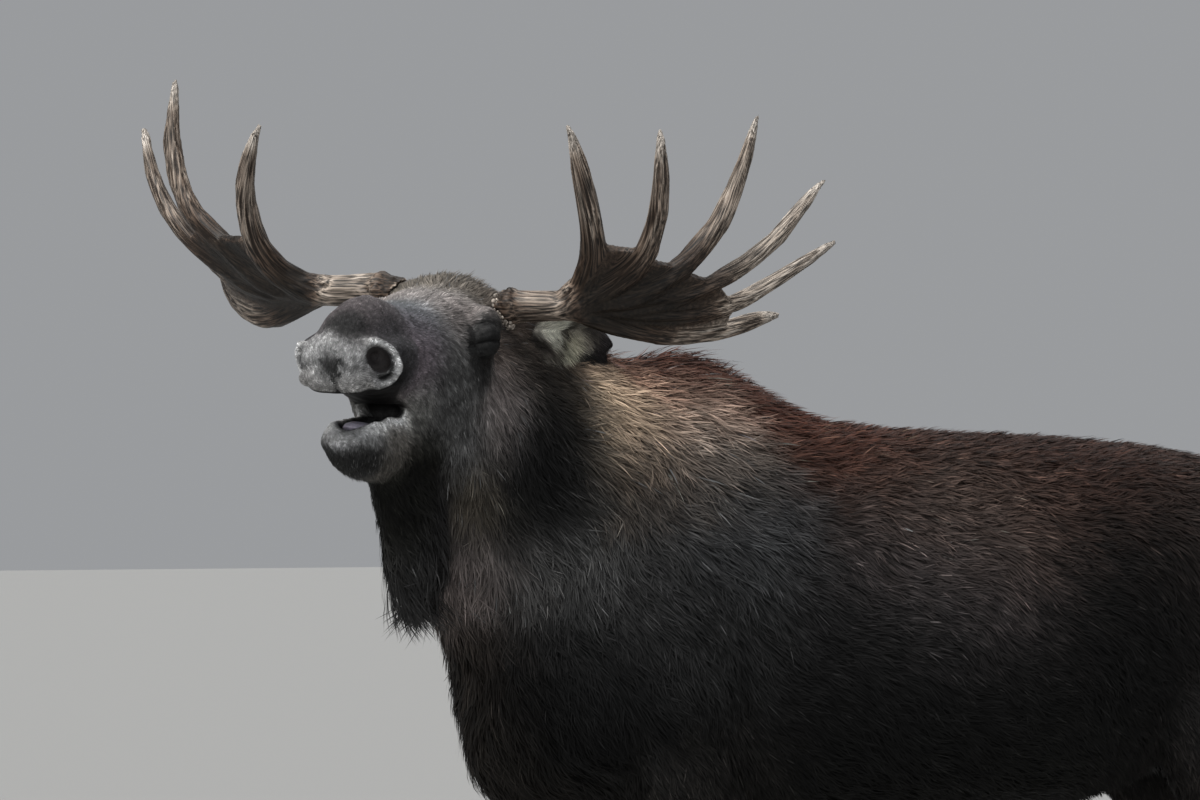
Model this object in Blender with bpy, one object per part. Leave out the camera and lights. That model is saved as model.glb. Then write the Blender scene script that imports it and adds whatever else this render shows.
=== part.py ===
"""A bull moose, life size and standing still, with its head raised, turned to its left and calling.

Run with: blender --background --python part.py
Metres, +Z up. The moose faces -Y, its left side is +X, and it stands on Z = 0.
The flesh is shaped as overlapping lofted forms that are blended into one body,
which thin cuts then part into head, jaw, neck, trunk, legs, tail and dewlap.
"""

import math

import bmesh
import bpy
import numpy as np
from mathutils import Matrix, Vector

# ---------------------------------------------------------------- driving sizes
SHOULDER_HEIGHT = 1.90  # top of the hump, with its coat
CHEST_HEIGHT = 0.94  # ground to the underside of the chest
ELBOW_HEIGHT = 1.0
KNEE_HEIGHT = 0.53
HOCK_HEIGHT = 0.63
FETLOCK_HEIGHT = 0.165

POLL = Vector((0.182, -0.525, 2.005))  # top of the skull, between the antlers
HEAD_YAW = math.radians(50.5)  # the head looks this far round to its left
HEAD_ROLL = math.radians(4)  # and its left side hangs this much lower
HEAD_TURN = Matrix.Rotation(HEAD_YAW, 4, "Z") @ Matrix.Rotation(HEAD_ROLL, 4, "Y")
HEAD = Matrix.Translation(POLL) @ HEAD_TURN

CUT = 0.0004  # width of the thin cuts that part the body
GAP = 0.0003  # gap between two pieces that touch
RING = 28  # points round each section of a form
EYE_RADIUS = 0.020
EYE = (0.131, 0.066, -0.086)  # across, forward and up from the poll

BODY_VOXEL = 0.008
ANTLER_VOXEL = 0.005
BODY_TRIANGLES = 2780
ANTLER_TRIANGLES = 740

for old in list(bpy.data.objects):
    bpy.data.objects.remove(old)


# ---------------------------------------------------------------- shaping tools
def smooth_rows(rows, steps):
    """Rows of numbers read as stations of one smooth curve, with steps between stations."""
    rows = np.array(rows, float)
    gaps = np.linalg.norm(np.diff(rows[:, :3], axis=0), axis=1)
    along = np.concatenate([[0], np.cumsum(np.maximum(gaps, 1e-4))])
    slopes = np.gradient(rows, along, axis=0)
    out = []
    for i in range(len(rows) - 1):
        span = along[i + 1] - along[i]
        for t in np.arange(steps) / steps:
            keep, go = 2 * t**3 - 3 * t**2 + 1, 3 * t**2 - 2 * t**3
            leave, arrive = t**3 - 2 * t**2 + t, t**3 - t**2
            bend = span * (leave * slopes[i] + arrive * slopes[i + 1])
            out.append(keep * rows[i] + go * rows[i + 1] + bend)
    out.append(rows[-1])
    return np.array(out)


def object_of(name, bm):
    """An object that holds this bmesh."""
    mesh = bpy.data.meshes.new(name)
    bm.to_mesh(mesh)
    bm.free()
    obj = bpy.data.objects.new(name, mesh)
    bpy.context.scene.collection.objects.link(obj)
    return obj


def loft(name, stations, steps=4, place=None, around=RING):
    """A closed form through oval sections.

    Each station holds the section's top point, its bottom point, half its width, the heading of
    its side axis in degrees, how high its widest level is (0 bottom, 1 top), and a power for its
    upper and its lower half: 1 is an ellipse, more is pinched and less is boxy.
    """
    bm = bmesh.new()
    rings = []
    for row in smooth_rows(stations, steps):
        top, bottom = row[0:3], row[3:6]
        half_width, heading, widest, upper, lower = row[6:11]
        side = np.array([math.cos(math.radians(heading)), math.sin(math.radians(heading)), 0])
        ring = []
        for turn in np.arange(around) * 2 * math.pi / around:
            rise, across = math.sin(turn), math.cos(turn)
            power = upper if rise > 0 else lower
            height = widest + rise * ((1 - widest) if rise > 0 else widest)
            width = half_width * math.copysign(abs(across) ** power, across)
            ring.append(bm.verts.new(bottom + (top - bottom) * height + side * width))
        rings.append(ring)
    for ring, after in zip(rings, rings[1:]):
        for i in range(around):
            j = (i + 1) % around
            bm.faces.new((ring[i], ring[j], after[j], after[i]))
    bm.faces.new(rings[0])
    bm.faces.new(rings[-1])
    bmesh.ops.recalc_face_normals(bm, faces=bm.faces)
    if place:
        bm.transform(place)
    return object_of(name, bm)


def rod(name, points, place=None, steps=5, resolution=3):
    """A round tapering form along a smooth path. Each point holds x, y, z and the radius there."""
    curve = bpy.data.curves.new(name, "CURVE")
    curve.dimensions = "3D"
    curve.bevel_depth = 1.0
    curve.bevel_resolution = resolution
    curve.use_fill_caps = True
    path = smooth_rows(points, steps)
    spline = curve.splines.new("POLY")
    spline.points.add(len(path) - 1)
    for point, (x, y, z, radius) in zip(spline.points, path):
        point.co = (x, y, z, 1)
        point.radius = radius
    return frozen(name, bpy.data.objects.new(name, curve), place)


def ball(name, centre, radii, turn=(0, 0, 0), place=None, segments=24):
    """An ellipsoid with its radii along its own axes, turned by three angles in degrees."""
    bm = bmesh.new()
    bmesh.ops.create_uvsphere(bm, u_segments=segments, v_segments=segments // 2, radius=1)
    turned = Matrix.Rotation(math.radians(turn[2]), 4, "Z")
    turned = turned @ Matrix.Rotation(math.radians(turn[1]), 4, "Y")
    turned = turned @ Matrix.Rotation(math.radians(turn[0]), 4, "X")
    bm.transform(Matrix.Translation(centre) @ turned @ Matrix.Diagonal((*radii, 1)))
    if place:
        bm.transform(place)
    return object_of(name, bm)


def frozen(name, obj, place=None):
    """The object with its modifiers or curve settings applied, as a plain mesh."""
    if not obj.users_collection:
        bpy.context.scene.collection.objects.link(obj)
    bpy.context.view_layer.update()
    graph = bpy.context.evaluated_depsgraph_get()
    bm = bmesh.new()
    bm.from_mesh(bpy.data.meshes.new_from_object(obj.evaluated_get(graph)))
    bmesh.ops.remove_doubles(bm, verts=bm.verts, dist=1e-6)
    if place:
        bm.transform(place)
    bpy.data.objects.remove(obj)
    return object_of(name, bm)


def less(obj, cutter, keep_cutter=False):
    """The object with the cutter's shape taken out of it."""
    cut = obj.modifiers.new("Cut", "BOOLEAN")
    cut.operation = "DIFFERENCE"
    cut.object = cutter
    name = obj.name
    obj.name = name + "_uncut"
    made = frozen(name, obj)
    if not keep_cutter:
        bpy.data.objects.remove(cutter)
    return made


def swollen(obj, by):
    """A copy of the object, grown outwards by a little."""
    bm = bmesh.new()
    bm.from_mesh(obj.data)
    bm.normal_update()
    for vert in bm.verts:
        vert.co += vert.normal * by * vert.calc_shell_factor()
    return object_of(obj.name + "_swollen", bm)


def blended(name, forms, voxel, rounds, triangles, fine=None):
    """Overlapping forms melted into one closed skin.

    The skin is smoothed in rounds and then thinned to about so many triangles. fine is a
    function of a point that says how much of the thinning it is spared, from 0 to 1.
    """
    bm = bmesh.new()
    for form in forms:
        bm.from_mesh(form.data)
        bpy.data.objects.remove(form)
    whole = object_of(name + "_forms", bm)
    remesh = whole.modifiers.new("Melt", "REMESH")
    remesh.mode = "VOXEL"
    remesh.voxel_size = voxel
    smooth = whole.modifiers.new("Smooth", "SMOOTH")
    smooth.factor = 0.5
    smooth.iterations = rounds
    melted = frozen(name + "_melted", whole)
    full = 2 * len(melted.data.polygons)
    thin = melted.modifiers.new("Thin", "DECIMATE")
    thin.ratio = triangles / full
    if fine:
        group = melted.vertex_groups.new(name="thin")
        for vert in melted.data.vertices:
            group.add([vert.index], 1 - fine(vert.co), "REPLACE")
        thin.vertex_group = group.name
        thin.vertex_group_factor = 1.0
    return frozen(name, melted)


def cut_slab(centre, normal, across, width, height):
    """A sheet as thin as a cut, facing along normal, with its width along across."""
    normal = Vector(normal).normalized()
    across = Vector(across)
    across = (across - normal * across.dot(normal)).normalized()
    bm = bmesh.new()
    bmesh.ops.create_cube(bm, size=1)
    axes = Matrix((across, normal.cross(across), normal)).transposed().to_4x4()
    bm.transform(Matrix.Translation(centre) @ axes @ Matrix.Diagonal((width, height, CUT, 1)))
    return object_of("slab", bm)


def parted(whole, slabs, labels):
    """The whole cut by the slabs. Each loose piece takes the name of the label nearest to it."""
    for slab in slabs:
        whole = less(whole, slab)
    bm = bmesh.new()
    bm.from_mesh(whole.data)
    bpy.data.objects.remove(whole)
    pieces = {}
    left = set(bm.verts)
    while left:
        seed = left.pop()
        island, front = {seed}, [seed]
        while front:
            for edge in front.pop().link_edges:
                for vert in edge.verts:
                    if vert not in island:
                        island.add(vert)
                        front.append(vert)
        left -= island
        corners = np.array([vert.co for vert in island])
        middle = Vector((corners.min(0) + corners.max(0)) / 2)
        name = min(labels, key=lambda label: (Vector(labels[label]) - middle).length)
        piece = bmesh.new()
        twin = {vert: piece.verts.new(vert.co) for vert in island}
        for face in {face for vert in island for face in vert.link_faces}:
            piece.faces.new([twin[vert] for vert in face.verts])
        piece.normal_update()
        if name in pieces:
            raise ValueError(f"two pieces are nearest to {name}, the second at {middle}")
        pieces[name] = object_of(name, piece)
    bm.free()
    missing = sorted(set(labels) - set(pieces))
    if missing:
        raise ValueError(f"no piece for {missing}")
    return pieces


# ---------------------------------------------------------------- trunk
def trunk_station(y, top, bottom, half_width, widest=0.42, upper=1.0, lower=0.85):
    """An upright section of the trunk."""
    return (0, y, top, 0, y, bottom, half_width, 0, widest, upper, lower)


def trunk_forms():
    """The barrel with its hump and rump, and the masses of shoulder and haunch."""
    hump = SHOULDER_HEIGHT
    chest = CHEST_HEIGHT
    barrel = loft("barrel", [
        trunk_station(-0.40, 1.46, 1.15, 0.09, 0.50, 1.0, 1.0),
        trunk_station(-0.35, 1.58, 1.04, 0.16, 0.45, 1.2, 0.9),
        trunk_station(-0.22, 1.74, 0.97, 0.225, 0.42, 1.4),
        trunk_station(-0.08, 1.865, chest, 0.255, 0.40, 1.6),
        trunk_station(0.04, hump, chest - 0.005, 0.275, 0.38, 1.65),
        trunk_station(0.13, hump - 0.015, chest - 0.01, 0.285, 0.38, 1.6),
        trunk_station(0.25, hump - 0.08, chest - 0.015, 0.295, 0.40, 1.4),
        trunk_station(0.38, hump - 0.145, chest - 0.015, 0.305, 0.42, 1.15),
        trunk_station(0.55, hump - 0.168, chest - 0.01, 0.320, 0.45, 1.0),
        trunk_station(0.78, hump - 0.178, chest + 0.005, 0.322, 0.47, 0.95),
        trunk_station(0.98, hump - 0.190, chest + 0.035, 0.300, 0.50, 0.95),
        trunk_station(1.14, hump - 0.205, chest + 0.095, 0.270, 0.52, 0.95),
        trunk_station(1.29, hump - 0.235, chest + 0.170, 0.250, 0.50, 1.0),
        trunk_station(1.41, hump - 0.300, chest + 0.260, 0.205, 0.50, 1.0, 1.0),
        trunk_station(1.49, hump - 0.400, chest + 0.350, 0.120, 0.50, 1.0, 1.0),
        trunk_station(1.51, hump - 0.450, chest + 0.410, 0.050, 0.50, 1.0, 1.0),
    ])
    forms = [barrel]
    for side in (1, -1):
        forms.append(ball("shoulder_blade", (side * 0.172, 0.03, 1.42), (0.100, 0.20, 0.34),
                          (-14, side * -17, 0)))
        forms.append(ball("shoulder_point", (side * 0.185, -0.17, 1.20), (0.085, 0.15, 0.16),
                          (0, 0, side * -12)))
        forms.append(ball("haunch", (side * 0.155, 1.24, 1.36), (0.105, 0.22, 0.29), (12, 0, 0)))
    forms.append(ball("brisket", (0, -0.24, 1.10), (0.12, 0.16, 0.15), (20, 0, 0)))
    forms.append(ball("sheath", (0, 0.86, chest + 0.005), (0.045, 0.11, 0.045), (8, 0, 0)))
    forms.append(ball("scrotum", (0, 1.31, 1.07), (0.05, 0.055, 0.09)))
    return forms


# ---------------------------------------------------------------- neck and dewlap
def neck_form():
    """The neck, from inside the shoulders to inside the back of the skull."""
    return loft("neck", [
        (0.000, 0.10, 1.840, 0.000, -0.26, 1.08, 0.215, 0, 0.42, 1.1, 0.9),
        (0.005, -0.06, 1.885, 0.015, -0.39, 1.20, 0.205, 4, 0.45, 1.1, 0.95),
        (0.025, -0.20, 1.905, 0.050, -0.45, 1.33, 0.185, 14, 0.47, 1.05, 1.0),
        (0.060, -0.31, 1.935, 0.110, -0.50, 1.45, 0.165, 28, 0.50, 1.0, 1.0),
        (0.095, -0.39, 1.965, 0.165, -0.535, 1.555, 0.145, 40, 0.52, 1.0, 1.0),
        (0.135, -0.455, 1.985, 0.215, -0.570, 1.640, 0.125, 50, 0.52, 1.0, 1.0),
        (0.170, -0.50, 1.975, 0.240, -0.590, 1.70, 0.105, 51, 0.52, 1.0, 1.0),
    ], steps=5)


def head_station(forward, top, bottom, half_width, widest=0.5, upper=0.9, lower=0.9):
    """A section of the head, in the head's own frame: forward of the poll, and up from it."""
    return (0, -forward, top, 0, -forward, bottom, half_width, 0, widest, upper, lower)


def dewlap_form():
    """The bell: a flap of skin and long hair that hangs plumb from the throat."""
    def station(z, front, back, half_width):
        across = -1.2 * math.sin(HEAD_ROLL) * (z + 0.33)
        return (across, back, z + 0.015, across, front, z, half_width, 0, 0.5, 1.0, 1.0)

    return loft("bell", [
        station(-0.330, -0.330, 0.060, 0.055),
        station(-0.400, -0.305, 0.060, 0.055),
        station(-0.480, -0.250, 0.050, 0.052),
        station(-0.560, -0.213, 0.048, 0.055),
        station(-0.620, -0.195, 0.040, 0.052),
        station(-0.655, -0.170, 0.000, 0.040),
        station(-0.672, -0.140, -0.050, 0.018),
    ], place=HEAD)


# ---------------------------------------------------------------- head
def head_forms():
    """Skull and muzzle, cheeks, brows, nostril wings and the dropped lower jaw."""
    muzzle = loft("muzzle", [
        head_station(-0.185, -0.060, -0.250, 0.060, 0.55),
        head_station(-0.150, -0.010, -0.330, 0.100, 0.60),
        head_station(-0.050, 0.018, -0.385, 0.122, 0.62, 0.8),
        head_station(0.060, 0.006, -0.390, 0.130, 0.68, 0.75),
        head_station(0.170, -0.014, -0.352, 0.113, 0.64, 0.75),
        head_station(0.270, -0.026, -0.298, 0.094, 0.58, 0.8),
        head_station(0.345, -0.026, -0.243, 0.084, 0.48, 0.9),
        head_station(0.420, -0.013, -0.212, 0.098, 0.42, 1.05, 0.75),
        head_station(0.500, -0.016, -0.205, 0.103, 0.40, 1.1, 0.65),
        head_station(0.570, -0.040, -0.204, 0.092, 0.42, 1.1, 0.65),
        head_station(0.618, -0.078, -0.203, 0.076, 0.45, 1.0, 0.70),
        head_station(0.650, -0.118, -0.190, 0.044, 0.50, 1.0, 0.9),
    ], place=HEAD)
    forms = [muzzle]
    for side in (1, -1):
        forms.append(ball("brow", (side * 0.109, -0.050, -0.058), (0.041, 0.060, 0.040),
                          (0, side * 10, 0), HEAD))
        forms.append(ball("lids", (side * 0.116, -0.066, -0.088), (0.034, 0.044, 0.036), place=HEAD))
        forms.append(ball("cheek", (side * 0.072, -0.010, -0.262), (0.050, 0.115, 0.122), place=HEAD))
        forms.append(ball("nostril_wing", (side * 0.060, -0.590, -0.130), (0.027, 0.042, 0.038),
                          (0, 0, side * 20), HEAD))
        forms.append(ball("pedicle", (side * 0.088, 0.046, -0.016), (0.045, 0.036, 0.033), place=HEAD))
    forms.append(ball("poll_ridge", (0, 0.046, 0.004), (0.105, 0.050, 0.027), place=HEAD))
    forms.append(ball("poll_tuft", (0, 0.046, 0.018), (0.040, 0.050, 0.024), place=HEAD))
    return forms


def jaw_form():
    """The lower jaw, dropped open."""
    jaw = loft("jaw", [
        head_station(0.080, -0.260, -0.380, 0.075, 0.50, 0.9, 0.9),
        head_station(0.200, -0.245, -0.378, 0.074, 0.50, 0.9, 0.9),
        head_station(0.300, -0.235, -0.374, 0.068, 0.50, 0.8, 0.9),
        head_station(0.380, -0.243, -0.369, 0.064, 0.52, 0.7, 0.95),
        head_station(0.450, -0.253, -0.362, 0.062, 0.56, 0.65, 1.0),
        head_station(0.510, -0.264, -0.346, 0.054, 0.60, 0.65, 1.0),
        head_station(0.545, -0.275, -0.324, 0.040, 0.60, 0.7, 1.0),
        head_station(0.562, -0.286, -0.306, 0.018, 0.55, 0.8, 1.0),
    ], place=HEAD)
    return jaw


def mouth_form():
    """The open mouth: a wedge that ends at the corners of the lips, and a hollow behind it."""
    return loft("mouth", [
        head_station(0.290, -0.222, -0.250, 0.040),
        head_station(0.345, -0.216, -0.256, 0.062),
        head_station(0.362, -0.226, -0.248, 0.120),
        head_station(0.400, -0.218, -0.252, 0.130),
        head_station(0.460, -0.209, -0.256, 0.135),
        head_station(0.540, -0.207, -0.276, 0.135),
        head_station(0.660, -0.207, -0.300, 0.135),
    ], steps=1, place=HEAD, around=12)


def tongue_form(jaw):
    """The tongue, lying in the trough of the jaw."""
    tongue = ball("tongue", (0, -0.436, -0.266), (0.029, 0.078, 0.016), (-5, 0, 0), HEAD, 12)
    return less(tongue, swollen(jaw, GAP))


# ---------------------------------------------------------------- legs
def foreleg_form(side, stride):
    """A foreleg from the elbow down. stride moves the foot back, the leg leaning to suit."""
    def station(z, front, back, half_width, out, widest=0.5):
        lean = stride * max(0, 1 - z / ELBOW_HEIGHT)
        return (side * out, back + lean, z, side * out, front + lean, z, half_width, 0, widest, 1.0, 1.0)

    knee, fetlock = KNEE_HEIGHT, FETLOCK_HEIGHT
    return loft("foreleg", [
        station(1.220, -0.170, 0.140, 0.080, 0.165),
        station(1.100, -0.150, 0.155, 0.090, 0.178),
        station(ELBOW_HEIGHT, -0.108, 0.140, 0.083, 0.184, 0.45),
        station(0.880, -0.078, 0.096, 0.069, 0.182, 0.45),
        station(0.740, -0.062, 0.058, 0.055, 0.178),
        station(knee + 0.070, -0.055, 0.043, 0.047, 0.175),
        station(knee, -0.060, 0.045, 0.050, 0.174),
        station(knee - 0.075, -0.047, 0.043, 0.041, 0.172),
        station(0.340, -0.036, 0.038, 0.034, 0.170),
        station(0.240, -0.038, 0.041, 0.035, 0.168),
        station(fetlock, -0.048, 0.052, 0.044, 0.166),
        station(0.115, -0.072, 0.030, 0.042, 0.166),
        station(0.060, -0.098, 0.012, 0.047, 0.166),
        station(0.015, -0.120, 0.000, 0.047, 0.166),
    ])


def hindleg_form(side, stride):
    """A hind leg from the thigh down."""
    def station(z, front, back, half_width, out, widest=0.5):
        lean = stride * max(0, 1 - z / 1.1)
        return (side * out, back + lean, z, side * out, front + lean, z, half_width, 0, widest, 1.0, 1.0)

    hock, fetlock = HOCK_HEIGHT, FETLOCK_HEIGHT
    return loft("hindleg", [
        station(1.400, 1.080, 1.450, 0.090, 0.140),
        station(1.250, 1.050, 1.468, 0.115, 0.150),
        station(1.110, 1.065, 1.450, 0.112, 0.165),
        station(0.980, 1.115, 1.415, 0.095, 0.172, 0.55),
        station(0.850, 1.195, 1.400, 0.070, 0.172),
        station(0.740, 1.272, 1.410, 0.053, 0.170),
        station(hock + 0.040, 1.312, 1.445, 0.046, 0.168, 0.40),
        station(hock - 0.030, 1.320, 1.440, 0.046, 0.168, 0.40),
        station(0.500, 1.325, 1.412, 0.038, 0.168),
        station(0.380, 1.325, 1.400, 0.033, 0.167),
        station(0.250, 1.322, 1.403, 0.035, 0.166),
        station(fetlock, 1.312, 1.410, 0.044, 0.166),
        station(0.115, 1.285, 1.385, 0.042, 0.166),
        station(0.060, 1.258, 1.365, 0.047, 0.166),
        station(0.015, 1.235, 1.352, 0.047, 0.166),
    ])


# side, hoof line at no stride, stride
FEET = {
    "front_left": (1, -0.058, 0.040),
    "front_right": (-1, -0.058, -0.120),
    "hind_left": (1, 1.298, 0.020),
    "hind_right": (-1, 1.298, 0.130),
}
CORONET_FRONT, CORONET_BACK = 0.096, 0.058  # height of the hoof's upper edge


def coronet_box(side, spot, above):
    """A box that ends on the coronet's slope: all that is above it, or all that is below."""
    slope = math.atan2(CORONET_FRONT - CORONET_BACK, 0.12)
    level = (CORONET_FRONT + CORONET_BACK) / 2 + (-GAP if above else GAP) / 2
    bm = bmesh.new()
    bmesh.ops.create_cube(bm, size=1)
    bm.transform(Matrix.Translation((side * 0.166, spot, level)) @ Matrix.Rotation(-slope, 4, "X")
                 @ Matrix.Translation((0, 0, 0.1 if above else -0.1)) @ Matrix.Diagonal((0.24, 0.36, 0.2, 1)))
    return object_of("coronet_cut", bm)


def hoof_form(name, side, middle, half):
    """One of the two toes of a foot: a long pointed hoof with a flat sole."""
    out = side * 0.166 + half * 0.0315
    splay = half * 0.012

    def station(y, top, half_width, shift):
        return (out + shift, middle + y, top, out + shift, middle + y, -0.012, half_width, 0, 0.20, 0.8, 0.4)

    toe = loft(name + "_rough", [
        station(0.062, 0.052, 0.018, 0),
        station(0.045, 0.100, 0.027, 0),
        station(0.000, 0.115, 0.0305, 0),
        station(-0.045, 0.108, 0.0300, splay * 0.3),
        station(-0.080, 0.066, 0.025, splay * 0.7),
        station(-0.108, 0.028, 0.014, splay),
        station(-0.118, 0.012, 0.007, splay),
    ], steps=1, around=10)
    toe.name = name
    bm = bmesh.new()
    bmesh.ops.create_cube(bm, size=1)
    bm.transform(Matrix.Translation((out, middle, -0.05)) @ Matrix.Diagonal((0.2, 0.4, 0.1, 1)))
    return less(less(toe, object_of("ground", bm)), coronet_box(side, middle - 0.005, True))


def dewclaw_form(name, side, middle, half, leg):
    """A small horn behind the fetlock, bedded in the leg's skin."""
    x, y = side * 0.166 + half * 0.024, middle + 0.088
    claw = rod(name, [(x, y - 0.012, 0.150, 0.013), (x + half * 0.004, y + 0.008, 0.132, 0.014),
                      (x + half * 0.007, y + 0.018, 0.105, 0.007)], steps=2, resolution=1)
    return less(claw, swollen(leg, GAP))


# ---------------------------------------------------------------- antlers
# Paths in the head's frame: out to the side, back and up from the poll, and the radius there.
LEFT_BEAM = [(0.085, 0.048, -0.022, 0.031), (0.125, 0.045, -0.021, 0.034), (0.176, 0.050, -0.016, 0.031),
             (0.236, 0.055, -0.012, 0.031), (0.282, 0.060, -0.003, 0.032)]
LEFT_TINES = [
    [(0.250, 0.055, -0.005, 0.030), (0.284, 0.046, 0.028, 0.028), (0.309, 0.015, 0.085, 0.027),
     (0.319, -0.060, 0.172, 0.022), (0.306, -0.120, 0.277, 0.016), (0.289, -0.157, 0.349, 0.006)],
    [(0.262, 0.056, 0.000, 0.026), (0.322, 0.050, 0.024, 0.022), (0.405, 0.020, 0.086, 0.023),
     (0.446, -0.020, 0.171, 0.020), (0.457, -0.050, 0.259, 0.017), (0.454, -0.070, 0.353, 0.006)],
    [(0.265, 0.058, -0.002, 0.022), (0.355, 0.070, 0.004, 0.017), (0.464, 0.090, 0.076, 0.022),
     (0.531, 0.120, 0.171, 0.021), (0.568, 0.145, 0.291, 0.016), (0.588, 0.158, 0.398, 0.006)],
    [(0.268, 0.060, -0.006, 0.020), (0.385, 0.100, -0.002, 0.014), (0.522, 0.160, 0.056, 0.018),
     (0.620, 0.210, 0.143, 0.017), (0.668, 0.250, 0.221, 0.014), (0.706, 0.270, 0.278, 0.006)],
    [(0.270, 0.062, -0.012, 0.020), (0.402, 0.130, -0.020, 0.014), (0.540, 0.240, 0.016, 0.018),
     (0.624, 0.310, 0.081, 0.015), (0.672, 0.355, 0.123, 0.012), (0.707, 0.380, 0.156, 0.007)],
    [(0.272, 0.065, -0.022, 0.021), (0.345, 0.125, -0.050, 0.017), (0.420, 0.190, -0.060, 0.017),
     (0.505, 0.295, -0.040, 0.018), (0.552, 0.375, -0.015, 0.017), (0.586, 0.420, 0.000, 0.009)],
]
RIGHT_BEAM = [(0.085, 0.048, -0.010, 0.031), (0.128, 0.045, -0.006, 0.034), (0.182, 0.050, -0.008, 0.031),
              (0.246, 0.055, -0.014, 0.031), (0.302, 0.060, -0.012, 0.032)]
RIGHT_TINES = [
    [(0.265, 0.058, -0.015, 0.030), (0.318, 0.042, 0.000, 0.029), (0.366, 0.008, 0.040, 0.028),
     (0.391, -0.070, 0.147, 0.022), (0.376, -0.120, 0.236, 0.017), (0.344, -0.157, 0.310, 0.006)],
    [(0.275, 0.060, -0.018, 0.024), (0.370, 0.072, -0.015, 0.018), (0.491, 0.100, 0.064, 0.022),
     (0.580, 0.120, 0.138, 0.022), (0.630, 0.140, 0.250, 0.020), (0.641, 0.158, 0.395, 0.007)],
    [(0.278, 0.062, -0.020, 0.022), (0.400, 0.105, -0.025, 0.015), (0.542, 0.165, 0.036, 0.018),
     (0.646, 0.200, 0.118, 0.018), (0.710, 0.240, 0.207, 0.015), (0.743, 0.270, 0.294, 0.008)],
    [(0.280, 0.064, -0.024, 0.020), (0.400, 0.130, -0.038, 0.014), (0.535, 0.225, 0.010, 0.017),
     (0.612, 0.290, 0.065, 0.015), (0.650, 0.335, 0.105, 0.012), (0.672, 0.360, 0.135, 0.007)],
    [(0.280, 0.068, -0.030, 0.021), (0.345, 0.125, -0.062, 0.018), (0.425, 0.190, -0.082, 0.019),
     (0.500, 0.245, -0.055, 0.018), (0.558, 0.320, -0.012, 0.015), (0.590, 0.370, 0.016, 0.008)],
]
# How much of the two tines on either side of it each web fills, from 0 at the beam to 1 at the tips.
LEFT_WEBS = [(0.46, 0.46), (0.41, 0.42), (0.40, 0.40), (0.40, 0.40), (0.40, 0.60)]
RIGHT_WEBS = [(0.48, 0.45), (0.50, 0.50), (0.42, 0.42), (0.42, 0.60)]
WEB_THICKNESS = 0.020
# Where each antler is cut at its main fork: a point, the way the cut faces and its long axis.
LEFT_FORK = ((0.340, 0.058, 0.022), (0.130, 0.975, -0.166), (0.83, -0.016, 0.556))
RIGHT_FORK = ((0.350, 0.053, 0.016), (0.168, 0.984, -0.064), (0.785, -0.094, 0.611))


def web(path_a, path_b, end_a, end_b):
    """The plate of the palm between two tines, filled out to these shares of them."""
    a, b = (smooth_rows(path, 12)[:, :3] for path in (path_a, path_b))
    bm = bmesh.new()
    rows = []
    for share in np.linspace(0, 1, 24):
        ends = []
        for path, end in ((a, end_a), (b, end_b)):
            spot = share * end * (len(path) - 1)
            low = min(int(spot), len(path) - 2)
            ends.append(path[low] + (path[low + 1] - path[low]) * (spot - low))
        rows.append([bm.verts.new(ends[0] * (1 - t) + ends[1] * t) for t in (0, 0.5, 1)])
    for row, after in zip(rows, rows[1:]):
        for j in (0, 1):
            bm.faces.new((row[j], row[j + 1], after[j + 1], after[j]))
    obj = object_of("web", bm)
    solid = obj.modifiers.new("Solidify", "SOLIDIFY")
    solid.thickness = WEB_THICKNESS
    solid.offset = 0
    return frozen("web", obj)


def antler(side, skull):
    """One antler, split at its main forks into beam, brow fork and palm."""
    where = HEAD @ Matrix.Diagonal((side, 1, 1, 1))
    if side > 0:
        label, beam, tines, webs, fork = "left", LEFT_BEAM, LEFT_TINES, LEFT_WEBS, LEFT_FORK
    else:
        label, beam, tines, webs, fork = "right", RIGHT_BEAM, RIGHT_TINES, RIGHT_WEBS, RIGHT_FORK
    forms = [rod("tine", path) for path in [beam, *tines]]
    for first, second, ends in zip(tines, tines[1:], webs):
        forms.append(web(first, second, *ends))
    root = Vector(beam[1][:3])
    forms.append(ball("burr", root + Vector((0.010, 0, 0)), (0.016, 0.040, 0.040)))
    whole = blended(f"antler_{label}", forms, ANTLER_VOXEL, 4, ANTLER_TRIANGLES)
    whole.data.transform(where)
    if side < 0:
        whole.data.flip_normals()
    whole = less(whole, swollen(skull, GAP))
    turn = where.to_3x3()
    slabs = [
        cut_slab(where @ Vector((0.222, 0.055, -0.012)), turn @ Vector((1, 0.05, 0)),
                 turn @ Vector((0, 1, 0)), 0.13, 0.13),
        cut_slab(where @ Vector(fork[0]), turn @ Vector(fork[1]), turn @ Vector(fork[2]), 0.31, 0.16),
    ]
    labels = {
        f"antler_{label}_beam": where @ Vector((0.17, 0.05, -0.01)),
        f"antler_{label}_brow": where @ Vector((0.34, -0.05, 0.15)),
        f"antler_{label}_palm": where @ Vector((0.49, 0.24, 0.15)),
    }
    return parted(whole, slabs, labels)


# ---------------------------------------------------------------- ears, eyes and tail
EAR_ROOT = Vector((0.115, 0.112, -0.070))
EAR_TIP = Vector((0.272, 0.365, -0.085))
EAR_FACING = Vector((0.80, -0.58, -0.10))


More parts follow.
